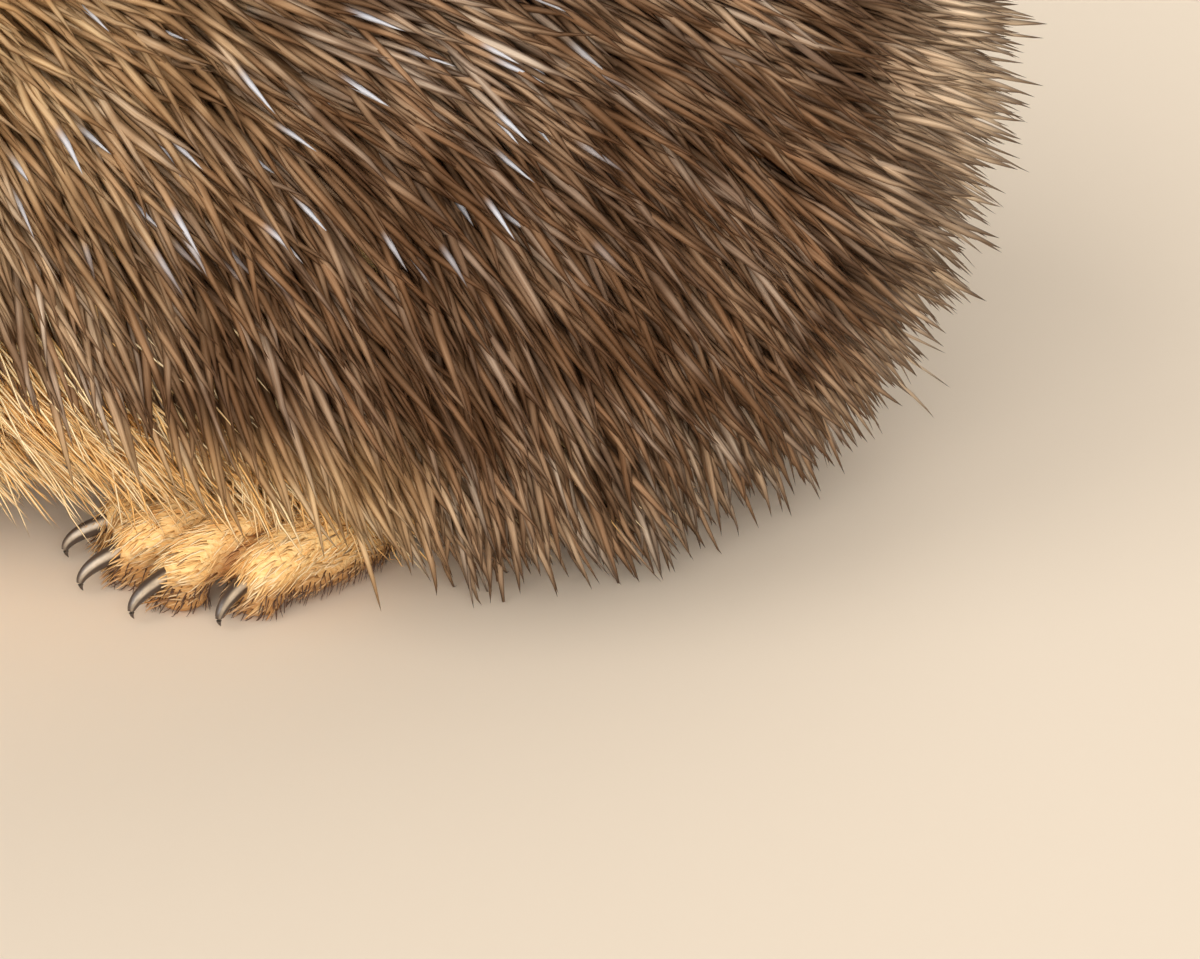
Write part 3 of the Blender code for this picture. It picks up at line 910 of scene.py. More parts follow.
def scattered(mesh, density, spacing, seed):
    """Roots on the skin and the skin's direction there. A triangle is drawn by its area, and a place in it
    by (1 - sqrt a, sqrt a (1 - b), sqrt a b). Two shifted grids then part those that are too close.
    density(points) is the chance to keep one."""
    draw = np.random.default_rng(seed)
    mesh.calc_loop_triangles()
    corners = np.empty(len(mesh.loop_triangles) * 3, np.int32)
    mesh.loop_triangles.foreach_get("vertices", corners)
    corners = corners.reshape(-1, 3)
    points, normals = points_of(mesh), normals_of(mesh)
    chance = density(points[corners].mean(axis=1))
    corners, chance = corners[chance > 0.01], chance[chance > 0.01]
    a, b, c = (points[corners[:, i]] for i in range(3))
    area = 0.5 * np.linalg.norm(np.cross(b - a, c - a), axis=1) * chance
    pick = draw.choice(len(corners), int(area.sum() / spacing**2 * DRAWS), p=area / area.sum())
    first, second = np.sqrt(draw.random(len(pick))), draw.random(len(pick))
    weights = np.stack([1 - first, first * (1 - second), first * second], axis=1)
    roots = np.einsum("nk,nkd->nd", weights, points[corners[pick]])
    lifts = unit(np.einsum("nk,nkd->nd", weights, normals[corners[pick]]))
    for _ in range(2):
        keep = one_in_a_cell(roots, spacing, draw.random(3))
        roots, lifts = roots[keep], lifts[keep]
    return roots, lifts


def tangent(direction, normals):
    """The part of a direction that lies in the skin, at length 1."""
    return unit(direction - normals * (direction * normals).sum(axis=1, keepdims=True))


def wobble(points, scale, seed):
    """Soft noise, mostly from -1 to 1: the sum of six sine waves in random directions."""
    draw = np.random.default_rng(seed)
    waves = draw.normal(size=(6, 3)) / scale
    phases = draw.random(6) * 2 * math.pi
    return np.sin(points @ waves.T + phases).sum(axis=1) * 0.45


STRAND_PATCH = 0.0029  # width of a strand's patch on the unwrap


def strand_mesh(name, centre, lifts, widths, shares, flat, sides, tints, foot_shades, darks):
    """Slim closed strands round centre lines (strand, step, 3). A step's section is a polygon of the given
    sides, width across and flat * width high, and the last step is the strand's point."""
    count, steps = centre.shape[:2]
    rings = steps - 1
    across, over = across_and_over(centre, lifts[:, None])
    turn = circle(sides)
    ring = across[:, :rings, None] * np.cos(turn)[:, None]
    ring = ring + flat * over[:, :rings, None] * np.sin(turn)[:, None]
    body = centre[:, :rings, None] + 0.5 * widths[:, :rings, None, None] * ring
    size = rings * sides + 2
    points = np.empty((count, size, 3))
    points[:, : rings * sides] = body.reshape(count, -1, 3)
    points[:, -2] = centre[:, 0]
    points[:, -1] = centre[:, -1]
    quads = ring_faces(rings, sides)[:, ::-1]
    side = np.arange(sides)
    next_side = (side + 1) % sides
    root_fan = np.stack([side, next_side, np.full(sides, size - 2)], axis=1)
    top = (rings - 1) * sides
    tip_fan = np.stack([top + next_side, top + side, np.full(sides, size - 1)], axis=1)
    shift = (np.arange(count) * size)[:, None, None]
    blocks = [(block[None] + shift).reshape(-1, block.shape[1]) for block in (quads, root_fan, tip_fan)]
    mesh = bpy.data.meshes.new(name)
    corners = fill_mesh(mesh, points.reshape(-1, 3), blocks)
    one_along = np.concatenate([np.repeat(shares[:-1], sides), [0, 1]])
    one_across = np.concatenate([np.tile(0.5 + 0.5 * np.cos(turn), rings), [0.5, 0.5]])
    set_attribute(mesh, "along", np.tile(one_along, count))
    set_attribute(mesh, "across", np.tile(one_across, count))
    set_attribute(mesh, "tone", np.repeat(tints[:, 0], size))
    set_attribute(mesh, "hue", np.repeat(tints[:, 1], size))
    # Each strand carries the feet's painted shade at its root.
    set_attribute(mesh, "foot_shade", np.repeat(foot_shades, size))
    set_attribute(mesh, "dark", np.repeat(darks, size))
    place = unwrapped(centre[:, 0])[:, None]
    patch = STRAND_PATCH * (np.stack([one_across, one_along], axis=1) - 0.5)
    flat_map = (place + patch).reshape(-1, 2)[corners]
    layer = mesh.uv_layers.new(name="OFBake")
    layer.uv.foreach_set("vector", flat_map.astype(np.float32).ravel())
    return mesh


LOWEST_STRAND = 0.0003  # no strand's middle line comes closer to the floor
UNEVEN_WIDTH = 0.12


def strands(name, material, roots, lifts, lay, length, width, profile, angle, seed,
            flat, sink, spread, sides=3, droop=0.0, bend=0.0, wave=0.0, vary=0.10):
    """Strands that leave the skin at an angle to it and follow the lay, with profile as pairs of share
    along and width: root + length (s cos(angle) lay + s sin(angle) lift - bend s^2 lift - droop s^2 up)
    plus a sideways wave, which grows with s."""
    draw = np.random.default_rng(seed)
    count = len(roots)
    shares, sizes = np.transpose(profile)
    side = np.cross(lifts, lay)
    swing, tilt, size = np.clip(draw.normal(size=(3, count)), -1.8, 1.8)
    swing = swing * spread
    lay = unit(lay + side * swing[:, None])
    side = np.cross(lifts, lay)
    s = shares[None, :, None]
    angle = np.asarray(angle) + tilt * spread * 0.6
    reach = (np.asarray(length) * (1 + size * vary))[:, None, None]
    curl = (draw.normal(size=count) * wave)[:, None, None]
    phase = (draw.random(count) * 2 * math.pi)[:, None, None]
    centre = roots[:, None] - sink * lifts[:, None]
    centre = centre + reach * s * (np.cos(angle)[:, None, None] * lay[:, None])
    centre = centre + reach * (s * np.sin(angle)[:, None, None] - bend * s**2) * lifts[:, None]
    centre = centre - reach * droop * s**2 * UP
    ripple = np.sin(s * 2.2 * math.pi + phase) - np.sin(phase)
    centre = centre + reach * curl * s * ripple * side[:, None]
    centre[..., 2] = np.maximum(centre[..., 2], LOWEST_STRAND)
    widths = np.asarray(width) * (1 + draw.normal(size=count) * UNEVEN_WIDTH)
    widths = widths[:, None] * sizes[None, :]
    tints = draw.random((count, 2))
    # The feet's painted shade and the face's markings at each root.
    markings = foot_cleft_and_sole_shade(roots), face_marks(roots)
    mesh = strand_mesh(name, centre, lifts, widths, shares, flat, sides, tints, *markings)
    piece = add_piece(name, mesh, material)
    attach(piece, "root")
    return piece


# ---------------------------------------------------------------- spines

SPINE_LENGTH = 0.0225
SPINE_WIDTH = 0.00108
SPINE_SPACING = 0.00134
SPINE_PROFILE = ((0.0, 0.60), (0.30, 0.95), (0.60, 1.0), (0.82, 0.66), (0.94, 0.28), (1.0, 0.0))
SPINE_ANGLE = math.radians(20)
MIDDLE_FRONT = -0.020  # where one piece of spines ends and the next begins
MIDDLE_BACK = 0.058

# How steeply the spines point down: height and degrees under level, for the flank, the rump and, by
# degrees round the body, for the head.
FLANK_SLOPES = (
    (0.020, 74), (0.032, 72), (0.042, 67), (0.052, 61), (0.063, 49),
    (0.073, 39), (0.083, 30), (0.100, 14), (0.120, 0),
)
RUMP_SLOPES = (
    (0.010, 58), (0.020, 50), (0.033, 35), (0.042, 24),
    (0.052, 13), (0.064, 6), (0.080, 1), (0.110, 0),
)
HEAD_SLOPES = ((0, 2), (25, 8), (50, 22), (80, 42), (120, 62))


def spine_flow(points):
    """Which way the spines point: backwards, and down by the slopes above, with a gentle wander."""
    height = points[:, 2]
    rump = np.maximum(smooth_step(points[:, 1], 0.058, 0.116), smooth_step(points[:, 1], 0.076, 0.096))
    head = smooth_step(points[:, 1], -0.020, -0.060)
    slope = along_line(height, FLANK_SLOPES) * (1 - rump) + along_line(height, RUMP_SLOPES) * rump
    slope = slope * (1 - head) + along_line(np.degrees(region_angle(points)), HEAD_SLOPES) * head
    slope = np.radians(slope) + 0.08 * wobble(points, 0.016, 5) + 0.09 * wobble(points, 0.0042, 7)
    aside = 0.10 * wobble(points, 0.016, 6) + np.tanh(points[:, 0] / 0.014) * 0.16 * head
    return unit(np.stack([aside, np.cos(slope), -np.sin(slope)], axis=1))


def make_spines(skin, material):
    """Spines over the crown, the back and the flanks, in pieces by region."""
    roots, lifts = scattered(skin.data, spiny, SPINE_SPACING, 11)
    flow = spine_flow(roots)
    lay = tangent(flow, lifts)
    # Where the flow runs out of the skin, as on the rump, the spine stands along the flow.
    outward = np.clip((flow * lifts).sum(axis=1), 0, 1)
    angle = np.maximum(SPINE_ANGLE, np.arcsin(outward) * 0.94)
    brow = smooth_step(roots[:, 1], -0.050, -0.078)
    rim = smooth_step(over_skirt(roots), 0.014, 0.0)
    angle = angle + brow * math.radians(10) - rim * math.radians(8) * (1 - outward)
    length = SPINE_LENGTH * (1 - 0.40 * brow) * (1 - 0.08 * smooth_step(roots[:, 1], 0.070, 0.098))
    width = SPINE_WIDTH * (1 - 0.25 * brow)
    middle = (roots[:, 1] >= MIDDLE_FRONT) & (roots[:, 1] < MIDDLE_BACK)
    regions = {
        "spines_front": roots[:, 1] < MIDDLE_FRONT,
        "spines_left": middle & (roots[:, 0] >= 0),
        "spines_right": middle & (roots[:, 0] < 0),
        "spines_rump_left": (roots[:, 1] >= MIDDLE_BACK) & (roots[:, 0] >= 0),
        "spines_rump_right": (roots[:, 1] >= MIDDLE_BACK) & (roots[:, 0] < 0),
    }
    for seed, (name, own) in enumerate(regions.items(), 21):
        strands(name, material, roots[own], lifts[own], lay[own], length[own], width[own],
                SPINE_PROFILE, angle[own], seed, flat=0.52, sink=0.001, spread=0.18 + 0.12 * brow[own],
                sides=4, bend=0.06, wave=0.014, vary=0.15)


# ---------------------------------------------------------------- fur

LOCK = ((0.0, 0.7), (0.25, 1.0), (0.5, 0.95), (0.75, 0.65), (0.9, 0.35), (1.0, 0.0))
HAIR = ((0.0, 0.9), (0.45, 1.0), (0.8, 0.6), (1.0, 0.0))
LONG_HAIR = ((0.0, 0.8), (0.2, 1.0), (0.4, 0.9), (0.6, 0.75), (0.8, 0.5), (1.0, 0.0))
FOOT_HAIR = 0.0027
EAR_HAIR = 0.0026


def fur_length(points):
    """Length of the hair: short on muzzle, ears and feet, longer on the cheeks, longest on the flanks."""
    y = points[:, 1]
    face = 0.0021 + 0.0058 * smooth_step(y, -0.106, -0.066)
    face = face * (0.42 + 0.58 * smooth_step(eye_reach(points), 1.3, 2.8))
    body = 0.0130 + 0.0065 * smooth_step(np.abs(points[:, 0]), 0.020, 0.040)
    body = body * (1 - 0.45 * smooth_step(y, 0.056, 0.076))
    body = body * (1 - 0.42 * smooth_step(over_skirt(points), 0.0, 0.005))
    length = face + (body - face) * smooth_step(y, -0.066, -0.040)
    length = length + (FOOT_HAIR - length) * foot_share(points) * (y > FEET_FRONT)
    return np.where(on_ear(points), EAR_HAIR, length)


def fur_lay(points, normals):
    """The lie of the hair: back from the nose, down and back on the body, forward along the feet and up
    the ears. The second result is how much it points out of the skin."""
    x, y = points[:, 0], points[:, 1]
    body = np.stack([0.10 * np.sign(x), np.full(len(x), 0.62), np.full(len(x), -0.85)], axis=1)
    face = np.stack([0.25 * np.sign(x), np.ones(len(x)), np.full(len(x), -0.18)], axis=1)
    mix = smooth_step(y, -0.078, -0.048)[:, None]
    direction = face * (1 - mix) + body * mix
    for leg in LEGS:
        ahead, _ = foot_axes(leg)
        plan = LEGS[leg]["foot"]
        away = np.linalg.norm((points - foot_point(leg, plan["palm"][0], 0, 0))[:, :2], axis=1)
        own = ((away < 0.036) * foot_share(points))[:, None]
        direction = direction * (1 - own) + own * (ahead + np.array([0, 0, -0.35]))
    direction = np.where(on_ear(points)[:, None], np.array([0.0, 0.15, 1.0]), direction)
    clump = 0.22 * wobble(points, 0.008, 9) + 0.20 * wobble(points, 0.0026, 10)
    side = unit(np.cross(normals, direction))
    direction = unit(direction)
    return tangent(direction + side * clump[:, None], normals), (direction * normals).sum(axis=1)


def eye_reach(points):
    """Distance from the nearest eye's centre, in eye radii."""
    reach = [np.linalg.norm(points - eye_of(side)[0], axis=1) / eye_of(side)[1] for side in ("left", "right")]
    return np.min(reach, axis=0)


def near_lids(points):
    """True where the lids leave no room for hair."""
    return (eye_reach(points) < 1.19) | (eye_reach(points + [0, 0.0014, 0.0003]) < 1.20)


def lid_edges(points):
    """1 on the bare dark edges of the lids."""
    return smooth_step(eye_reach(points), 1.33, 1.20)


def under_skirt(points):
    """Where fine golden hair grows between the lowest spines, before the thigh."""
    over = over_skirt(points)
    before = 0.9 * smooth_step(points[:, 1], 0.064, 0.048) * (points[:, 1] > -0.060)
    return (over > -0.001) * smooth_step(over, 0.013, 0.007) * before * ~on_ear(points)


def bare_of_spines(points):
    """1 where no spine grows, and some way in between the mantle's first spines."""
    return 1 - smooth_step(behind_edge(points), 0.004, 0.009) * smooth_step(over_skirt(points), -0.001, 0.002)


def belly_and_flank(points):
    """Where long locks grow, on either side of the middle."""
    grown = bare_of_spines(points) * smooth_step(points[:, 1], -0.062, -0.050) * (1 - foot_share(points))
    hidden = 0.5 * smooth_step(np.abs(points[:, 0]), 0.026, 0.016) * smooth_step(points[:, 2], 0.030, 0.024)
    return np.maximum(grown * (1 - hidden), under_skirt(points))


def left_belly(points):
    """Long locks on the left side."""
    return belly_and_flank(points) * (points[:, 0] >= 0)


def right_belly(points):
    """Long locks on the right side."""
    return belly_and_flank(points) * (points[:, 0] < 0)


BEHIND_EYES = -0.0832
NOSE_MIDDLE = (0, -0.1160, 0.0312)
NOSE_REACH = 0.0050


def off_mouth(points):
    """True away from the line between the lips."""
    return mouth_distance(points) > 0.0010


def cheeks(points):
    """Brow, cheeks and throat, clear of the lids."""
    grown = smooth_step(points[:, 1], -0.050, -0.062) * (points[:, 1] > BEHIND_EYES) * (points[:, 2] > 0.0150)
    return bare_of_spines(points) * grown * ~near_lids(points) * ~on_ear(points) * off_mouth(points)


def ears(points):
    """Both sides of the ears, with less hair in the cup."""
    return on_ear(points) * (1 - 0.4 * in_ear(points))


def muzzle(points):
    """The finer hair from behind the eyes to the nose, clear of lids, lips and nose."""
    grown = (points[:, 1] <= BEHIND_EYES) * (points[:, 2] > 0.0170)
    off_nose = np.linalg.norm(points - NOSE_MIDDLE, axis=1) > NOSE_REACH
    return grown * off_nose * ~near_lids(points) * off_mouth(points)


def feet(points):
    """The feet down to the edge of their soles."""
    return foot_share(points) * (points[:, 2] > 0.0018) * (points[:, 1] > FEET_FRONT)


def sole_edges(points):
    """The lower sides of the feet, where dark bristles stick out."""
    return (points[:, 2] > 0.0012) * (points[:, 2] < 0.0042) * (points[:, 1] > FEET_FRONT)


def make_fur(skin, body_material, face_material, bristle_material):
    """Locks on belly and flanks, short hair on legs, feet, face and ears, and bristles round the soles."""
    # name, where it grows, spacing, width, profile, angle, material, wave, height over width
    sets = (
        ("belly_fur_left", left_belly, 0.00140, 0.00054, LOCK, 0.17, body_material, 0.03, 0.5),
        ("belly_fur_right", right_belly, 0.00140, 0.00054, LOCK, 0.17, body_material, 0.03, 0.5),
        ("foot_fur", feet, 0.00080, 0.00034, HAIR, 0.17, body_material, 0.03, 0.45),
        ("cheek_fur", cheeks, 0.00080, 0.00038, HAIR, 0.22, face_material, 0.05, 0.45),
        ("muzzle_fur", muzzle, 0.00046, 0.00026, HAIR, 0.18, face_material, 0.03, 0.45),
        ("ear_fur", ears, 0.00050, 0.00026, HAIR, 0.15, face_material, 0.03, 0.45),
    )
    for seed, (name, region, spacing, width, profile, angle, material, wave, flat) in enumerate(sets, 41):
        roots, lifts = scattered(skin.data, region, spacing, seed)
        lay, outward = fur_lay(roots, lifts)
        # Under the body the hair hangs the way it points, clear of the skin.
        angle = np.maximum(angle, np.arcsin(np.clip(outward, 0, 1)) * 0.8 * (roots[:, 1] > -0.075))
        strands(name, material, roots, lifts, lay, fur_length(roots), width, profile,
                angle, seed, flat=flat, sink=0.0001, spread=0.17, bend=0.06, droop=0.04, wave=wave)
    roots, lifts = scattered(skin.data, sole_edges, 0.00085, 61)
    side = lifts[:, 2] > -0.75
    roots, lifts = roots[side], lifts[side]
    lay = tangent(fur_lay(roots, lifts)[0] - 1.1 * UP + 0.5 * lifts, lifts)
    strands("sole_bristles", bristle_material, roots, lifts, lay, 0.0022, 0.00022, HAIR,
            0.50, 61, flat=0.6, sink=0.0002, spread=0.22, droop=0.1)


WHISKER_PAD = (0.0060, -0.1050, 0.0290)
WHISKER_PAD_RADII = (0.0040, 0.0055, 0.0028)


def whisker_pads(points):
    """True on the sides of the muzzle, inside an ellipsoid on each."""
    return np.linalg.norm((folded(points) - WHISKER_PAD) / WHISKER_PAD_RADII, axis=1) < 1


def skirt_edge(points):
    """True among the lowest spines."""
    over = over_skirt(points)
    return (over > 0) & (over < 0.010) & (spiny(points) > 0.5)


def make_long_hairs(skin, whisker_material, hair_material):
    """Whiskers on the muzzle, and fine hairs that reach out between the spines along the skirt."""
    roots, lifts = scattered(skin.data, whisker_pads, 0.0016, 71)
    outward = np.sign(roots[:, 0])
    lay = tangent(np.stack([outward, np.full(len(roots), 0.75), np.full(len(roots), -0.25)], axis=1), lifts)
    strands("whiskers", whisker_material, roots, lifts, lay, 0.0150, 0.00019, LONG_HAIR,
            0.70, 71, flat=0.9, sink=0.0003, spread=0.34, droop=0.16, bend=0.10, vary=0.26)
    roots, lifts = scattered(skin.data, skirt_edge, 0.0042, 72)
    lay = tangent(spine_flow(roots), lifts)
    strands("skirt_hairs", hair_material, roots, lifts, lay, 0.0250, 0.00028, LONG_HAIR,
            0.30, 72, flat=0.9, sink=0.0003, spread=0.20, droop=0.05, bend=0.10, wave=0.03)


# ---------------------------------------------------------------- eyes, nose, claws


def closed_mesh(name, grid):
    """A mesh from one closed grid."""
    mesh = outward_mesh(name, *capped(grid))
    mesh.shade_smooth()
    return mesh


def make_eyes(material):
    """A smooth ball in each socket."""
    for side in ("left", "right"):
        centre, radius = eye_of(side)
        name = f"eye_ball_{side}"
        piece = add_piece(name, closed_mesh(name, ball(centre, [radius] * 3, 32, 48)), material)
        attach(piece, "root")
        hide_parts(f"eye_{side}")


def nose_grid():
    """An ellipsoid flattened in front, with a curved nostril on each side made of five pits in a row,
    r (1 - a exp(-(angle / w)^2)), and a groove down the middle."""
    low, high = (np.array(corner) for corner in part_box("nose"))
    size = (high - low) / 2
    shape = ball((0, 0, 0), (1, 1, 1), 72, 96)
    x, y, z = shape[..., 0], shape[..., 1], shape[..., 2]
    scale = np.ones(x.shape)
    for mirror in (1, -1):
        for t in (0.0, 0.25, 0.5, 0.75, 1.0):
            pit = np.array([mirror * (0.44 + 0.42 * t), -0.86 + 0.42 * t, 0.02 + 0.24 * t - 0.1 * t * t])
            pit = unit(pit)
            angle = np.arccos(np.clip(x * pit[0] + y * pit[1] + z * pit[2], -1, 1))
            scale = np.minimum(scale, 1 - (0.42 - 0.20 * t) * np.exp(-((angle / (0.20 - 0.07 * t)) ** 2)))
    groove = 0.10 * np.exp(-((x / 0.075) ** 2)) * smooth_step(-y, 0.3, 0.7)
    scale = scale - groove
    flat_front = 1 - 0.07 * smooth_step(-y, 0.75, 1.0)
    return (low + high) / 2 + shape * (scale * flat_front)[..., None] * size


def make_nose(material):
    """The moist nose at the end of the muzzle."""
    piece = add_piece("nose_pad", closed_mesh("nose_pad", nose_grid()), material)
    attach(piece, "root")
    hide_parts("nose")


CLAW_STEPS = 22
CLAW_SIDES = 20


def claw_grid(leg, toe):
    """A sickle on an ellipse that starts level in the toe: its height falls by (1 - cos a) and its reach
    grows by sin a, and the bend tightens towards the tip, a = bend t. The section is taller than wide
    and narrows by (1 - t^1.9)."""
    plan = LEGS[leg]["foot"]
    forward, outward, heading = toe
    course = math.radians(heading)
    t = np.linspace(0, 1, CLAW_STEPS)
    bend = CLAW_BEND * t
    back = plan["claw"] * CLAW_ROOT * (1 - np.sin(bend))
    drop = (1 - np.cos(bend)) / (1 - math.cos(CLAW_BEND))
    height = CLAW_BASE_HEIGHT + (CLAW_TIP_HEIGHT - CLAW_BASE_HEIGHT) * drop
    centre = np.stack([
        foot_point(leg, forward - b * math.cos(course), outward - b * math.sin(course), z)
        for b, z in zip(back, height)
    ])
    across, over = across_and_over(centre, UP)
    radius = CLAW_RADIUS * np.maximum(1 - t**1.9, 0.0) * 0.96 + 0.00005
    turn = circle(CLAW_SIDES)
    hollow = 1 - 0.30 * smooth_step(-np.sin(turn), 0.5, 1.0)
    ring = 0.80 * across[:, None] * np.cos(turn)[None, :, None]
    ring = ring + (1.08 * np.sin(turn) * hollow)[None, :, None] * over[:, None]
    return centre[:, None] + radius[:, None, None] * ring


def make_claws(material):
    """Twenty claws, each in place of its solid."""
    for leg, plan in LEGS.items():
        for number, toe in enumerate(plan["foot"]["toes"], 1):
            name = f"{leg}_nail_{number}"
            mesh = closed_mesh(name, claw_grid(leg, toe))
            share = np.repeat(np.linspace(0, 1, CLAW_STEPS), CLAW_SIDES)
            ridge = np.tile(np.sin(circle(CLAW_SIDES)), CLAW_STEPS)
            set_attribute(mesh, "along", np.concatenate([share, [0, 1]]))
            set_attribute(mesh, "ridge", np.concatenate([ridge, [0, 0]]))
            piece = add_piece(name, mesh, material)
            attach(piece, "root")
            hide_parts(f"{leg}_claw_{number}")


# ---------------------------------------------------------------- materials

NOISE_ROUGHNESS = 0.55


class Value:
    """A number socket on which Python's operators add Math nodes."""

    def __init__(self, paint, socket):
        self.paint = paint
        self.socket = socket

    def maths(self, operation, *others):
        """A Math node on this value and others, which are values or plain numbers."""
        sockets = [other.socket if isinstance(other, Value) else other for other in others]
        node = self.paint.node("ShaderNodeMath", {"operation": operation}, [self.socket, *sockets])
        return Value(self.paint, node.outputs[0])

    def __add__(self, other):
        return self.maths("ADD", other)

    __radd__ = __add__

    def __mul__(self, other):
        return self.maths("MULTIPLY", other)

    __rmul__ = __mul__

    def __sub__(self, other):
        return self.maths("SUBTRACT", other)

    def __rsub__(self, other):
        return (self * -1) + other

    def step(self, low, high):
        """0 below low, 1 above high, smooth between them; low may be above high."""
        if low > high:
            return 1 - self.step(high, low)
        inputs = {"Value": self, "From Min": low, "From Max": high}
        node = self.paint.node("ShaderNodeMapRange", {"interpolation_type": "SMOOTHSTEP"}, inputs)
        return Value(self.paint, node.outputs["Result"])


class Paint:
    """A new material with settings for its shader's sockets, and short ways to add nodes to it."""

    def __init__(self, name, **settings):
        self.material = bpy.data.materials.new(name)
        self.material.use_nodes = True
        self.tree = self.material.node_tree
        self.shader = self.tree.nodes["Principled BSDF"]
        for socket, value in settings.items():
            self.shader.inputs[socket.replace("_", " ")].default_value = value

    def node(self, kind, settings, inputs):
        """A node of that kind: settings first, then its inputs as values, numbers, colours or sockets."""
        node = self.tree.nodes.new(kind)
        for key, value in settings.items():
            setattr(node, key, value)
        pairs = inputs.items() if isinstance(inputs, dict) else enumerate(inputs)
        for key, value in pairs:
            socket = value.socket if isinstance(value, Value) else value
            if isinstance(socket, bpy.types.NodeSocket):
                self.tree.links.new(socket, node.inputs[key])
            elif isinstance(socket, tuple) and len(socket) == 3 and node.inputs[key].type == "RGBA":
                node.inputs[key].default_value = (*socket, 1)
            else:
                node.inputs[key].default_value = socket
        return node

    def attribute(self, name):
        """A number stored on the mesh."""
        node = self.node("ShaderNodeAttribute", {"attribute_name": name}, {})
        return Value(self, node.outputs["Fac"])

    def place(self):
        """The point's own x, y and z, and the vector."""
        vector = self.node("ShaderNodeTexCoord", {}, {}).outputs["Object"]
        parts = self.node("ShaderNodeSeparateXYZ", {}, [vector])
        return [Value(self, parts.outputs[i]) for i in range(3)] + [vector]

    def scaled(self, vector, x, y, z):
        """The vector with each part multiplied."""
        node = self.node("ShaderNodeVectorMath", {"operation": "MULTIPLY"}, [vector, (x, y, z)])
        return node.outputs[0]

    def noise(self, vector, scale, detail):
        """Noise from 0 to 1 at a scale per metre."""
        inputs = {"Vector": vector, "Scale": scale, "Detail": detail, "Roughness": NOISE_ROUGHNESS}
        node = self.node("ShaderNodeTexNoise", {}, inputs)
        return Value(self, node.outputs["Fac"])

    def mix(self, factor, first, second):
        """The first colour where factor is 0 and the second where it is 1."""
        node = self.node("ShaderNodeMix", {"data_type": "RGBA"}, {0: factor, 6: first, 7: second})
        return node.outputs[2]

    def bump(self, height, distance, strength):
        """A bump from a height, put on the shader's normal."""
        node = self.node("ShaderNodeBump", {}, {"Height": height, "Distance": distance, "Strength": strength})
        self.tree.links.new(node.outputs["Normal"], self.shader.inputs["Normal"])

    def colour(self, socket):
        """Puts a colour on the shader."""
        self.tree.links.new(socket, self.shader.inputs["Base Color"])


# The edge colours are painted shade at the sides of each spine and also give its darker tones; the streak
# colours are its lit middle.
SPINE_EDGE_SHADE = (0.130, 0.050, 0.0155)
SPINE_STREAK = (0.500, 0.350, 0.225)
SPINE_GOLD_EDGE_SHADE = (0.430, 0.222, 0.080)
SPINE_GOLD = (0.690, 0.490, 0.260)
SPINE_RUST = (0.370, 0.208, 0.110)
SPINE_GREY = (0.540, 0.450, 0.360)
SPINE_CREAM = (0.980, 0.770, 0.540)
# Pale tips, partly a painted highlight.
SPINE_PALE_HIGHLIGHT = (0.56, 0.59, 0.66)
SPINE_TIP = (0.040, 0.015, 0.005)
SPINE_SLATE = (0.082, 0.038, 0.0155)
# Painted shade on the skin between the spines, lighter under the golden spines.
SHADE_UNDER_SPINES = (0.155, 0.062, 0.020)
SHADE_UNDER_GOLD = (0.360, 0.190, 0.072)
GOLD = (0.96, 0.70, 0.34)
GOLD_DEEP = (0.88, 0.52, 0.190)
# Painted highlight along each hair's ridge.
GOLD_HIGHLIGHT = (0.97, 0.82, 0.55)
# Painted shade in the clefts between the toes and low round the feet.
FOOT_SHADE_RUST = (0.330, 0.130, 0.040)
BRISTLE = (0.130, 0.054, 0.022)
FACE_BROWN = (0.110, 0.058, 0.030)
FACE_LIGHT = (0.640, 0.450, 0.250)
FACE_PALE = (0.800, 0.620, 0.400)
FACE_DARK = (0.045, 0.025, 0.015)
LID_DARK = (0.022, 0.013, 0.009)
HORN_DARK = (0.060, 0.040, 0.030)
# Painted highlight along each claw's sides.
HORN_HIGHLIGHT = (0.60, 0.49, 0.36)
EYE_BLACK = (0.006, 0.004, 0.003, 1)
NOSE_BLACK = (0.012, 0.009, 0.009, 1)
FLOOR_CREAM = (0.875, 0.765, 0.630, 1)


def golden_and_lit_share(paint):
    """1 on the shoulder and the upper flank before the loins, where the spines are golden and lighter:
    partly their colour, partly painted light on the front, lit side.
    """
    _, y, z, _ = paint.place()
    return y.step(0.048, -0.012) * z.step(0.022, 0.092)


def painted_shade_band(paint):
    """1 along the middle of the flank, where painted shade darkens the spines."""
    _, y, z, _ = paint.place()
    return y.step(0.000, 0.026) * y.step(0.112, 0.090) * z.step(0.018, 0.032) * z.step(0.080, 0.062)


def pale_highlight_share(paint):
    """1 on the upper flank and the back as far as the loins, where some spines end in a pale tip, partly
    their own pale end and partly a painted highlight on the lit upper coat.
    """
    _, y, z, _ = paint.place()
    return y.step(0.072, 0.060) * z.step(0.046, 0.058)


def low_painted_light(paint):
    """1 on the lowest spines, which are painted lighter than those over them: painted light in the shade
    under the body.
    """
    return paint.place()[2].step(0.021, 0.009)


def heel_share(paint):
    """1 on the ends of the spines that hang over the golden heel."""
    _, y, z, _ = paint.place()
    return y.step(0.052, 0.034) * z.step(0.034, 0.021)


def light_rim(paint):
    """1 on the spines that reach out behind the rump."""
    return paint.place()[1].step(0.090, 0.115)


def strand_values(paint):
    """Each strand's two random numbers, the share along it, and how near its ridge a point is."""
    tone, hue, along, across = (paint.attribute(name) for name in ("tone", "hue", "along", "across"))
    return tone, hue, along, 1 - (across * 2 - 1).maths("ABSOLUTE")


def strand_grain(paint, lines, bands):
    """Noise drawn out along each strand, different on each: lines across it and bands along it."""
    tone, hue, along, across = (paint.attribute(name) for name in ("tone", "hue", "along", "across"))
    parts = paint.node("ShaderNodeCombineXYZ", {}, [across * lines, along * bands + hue * 37, tone * 83])
    return paint.noise(parts.outputs[0], 1.0, 2.0)


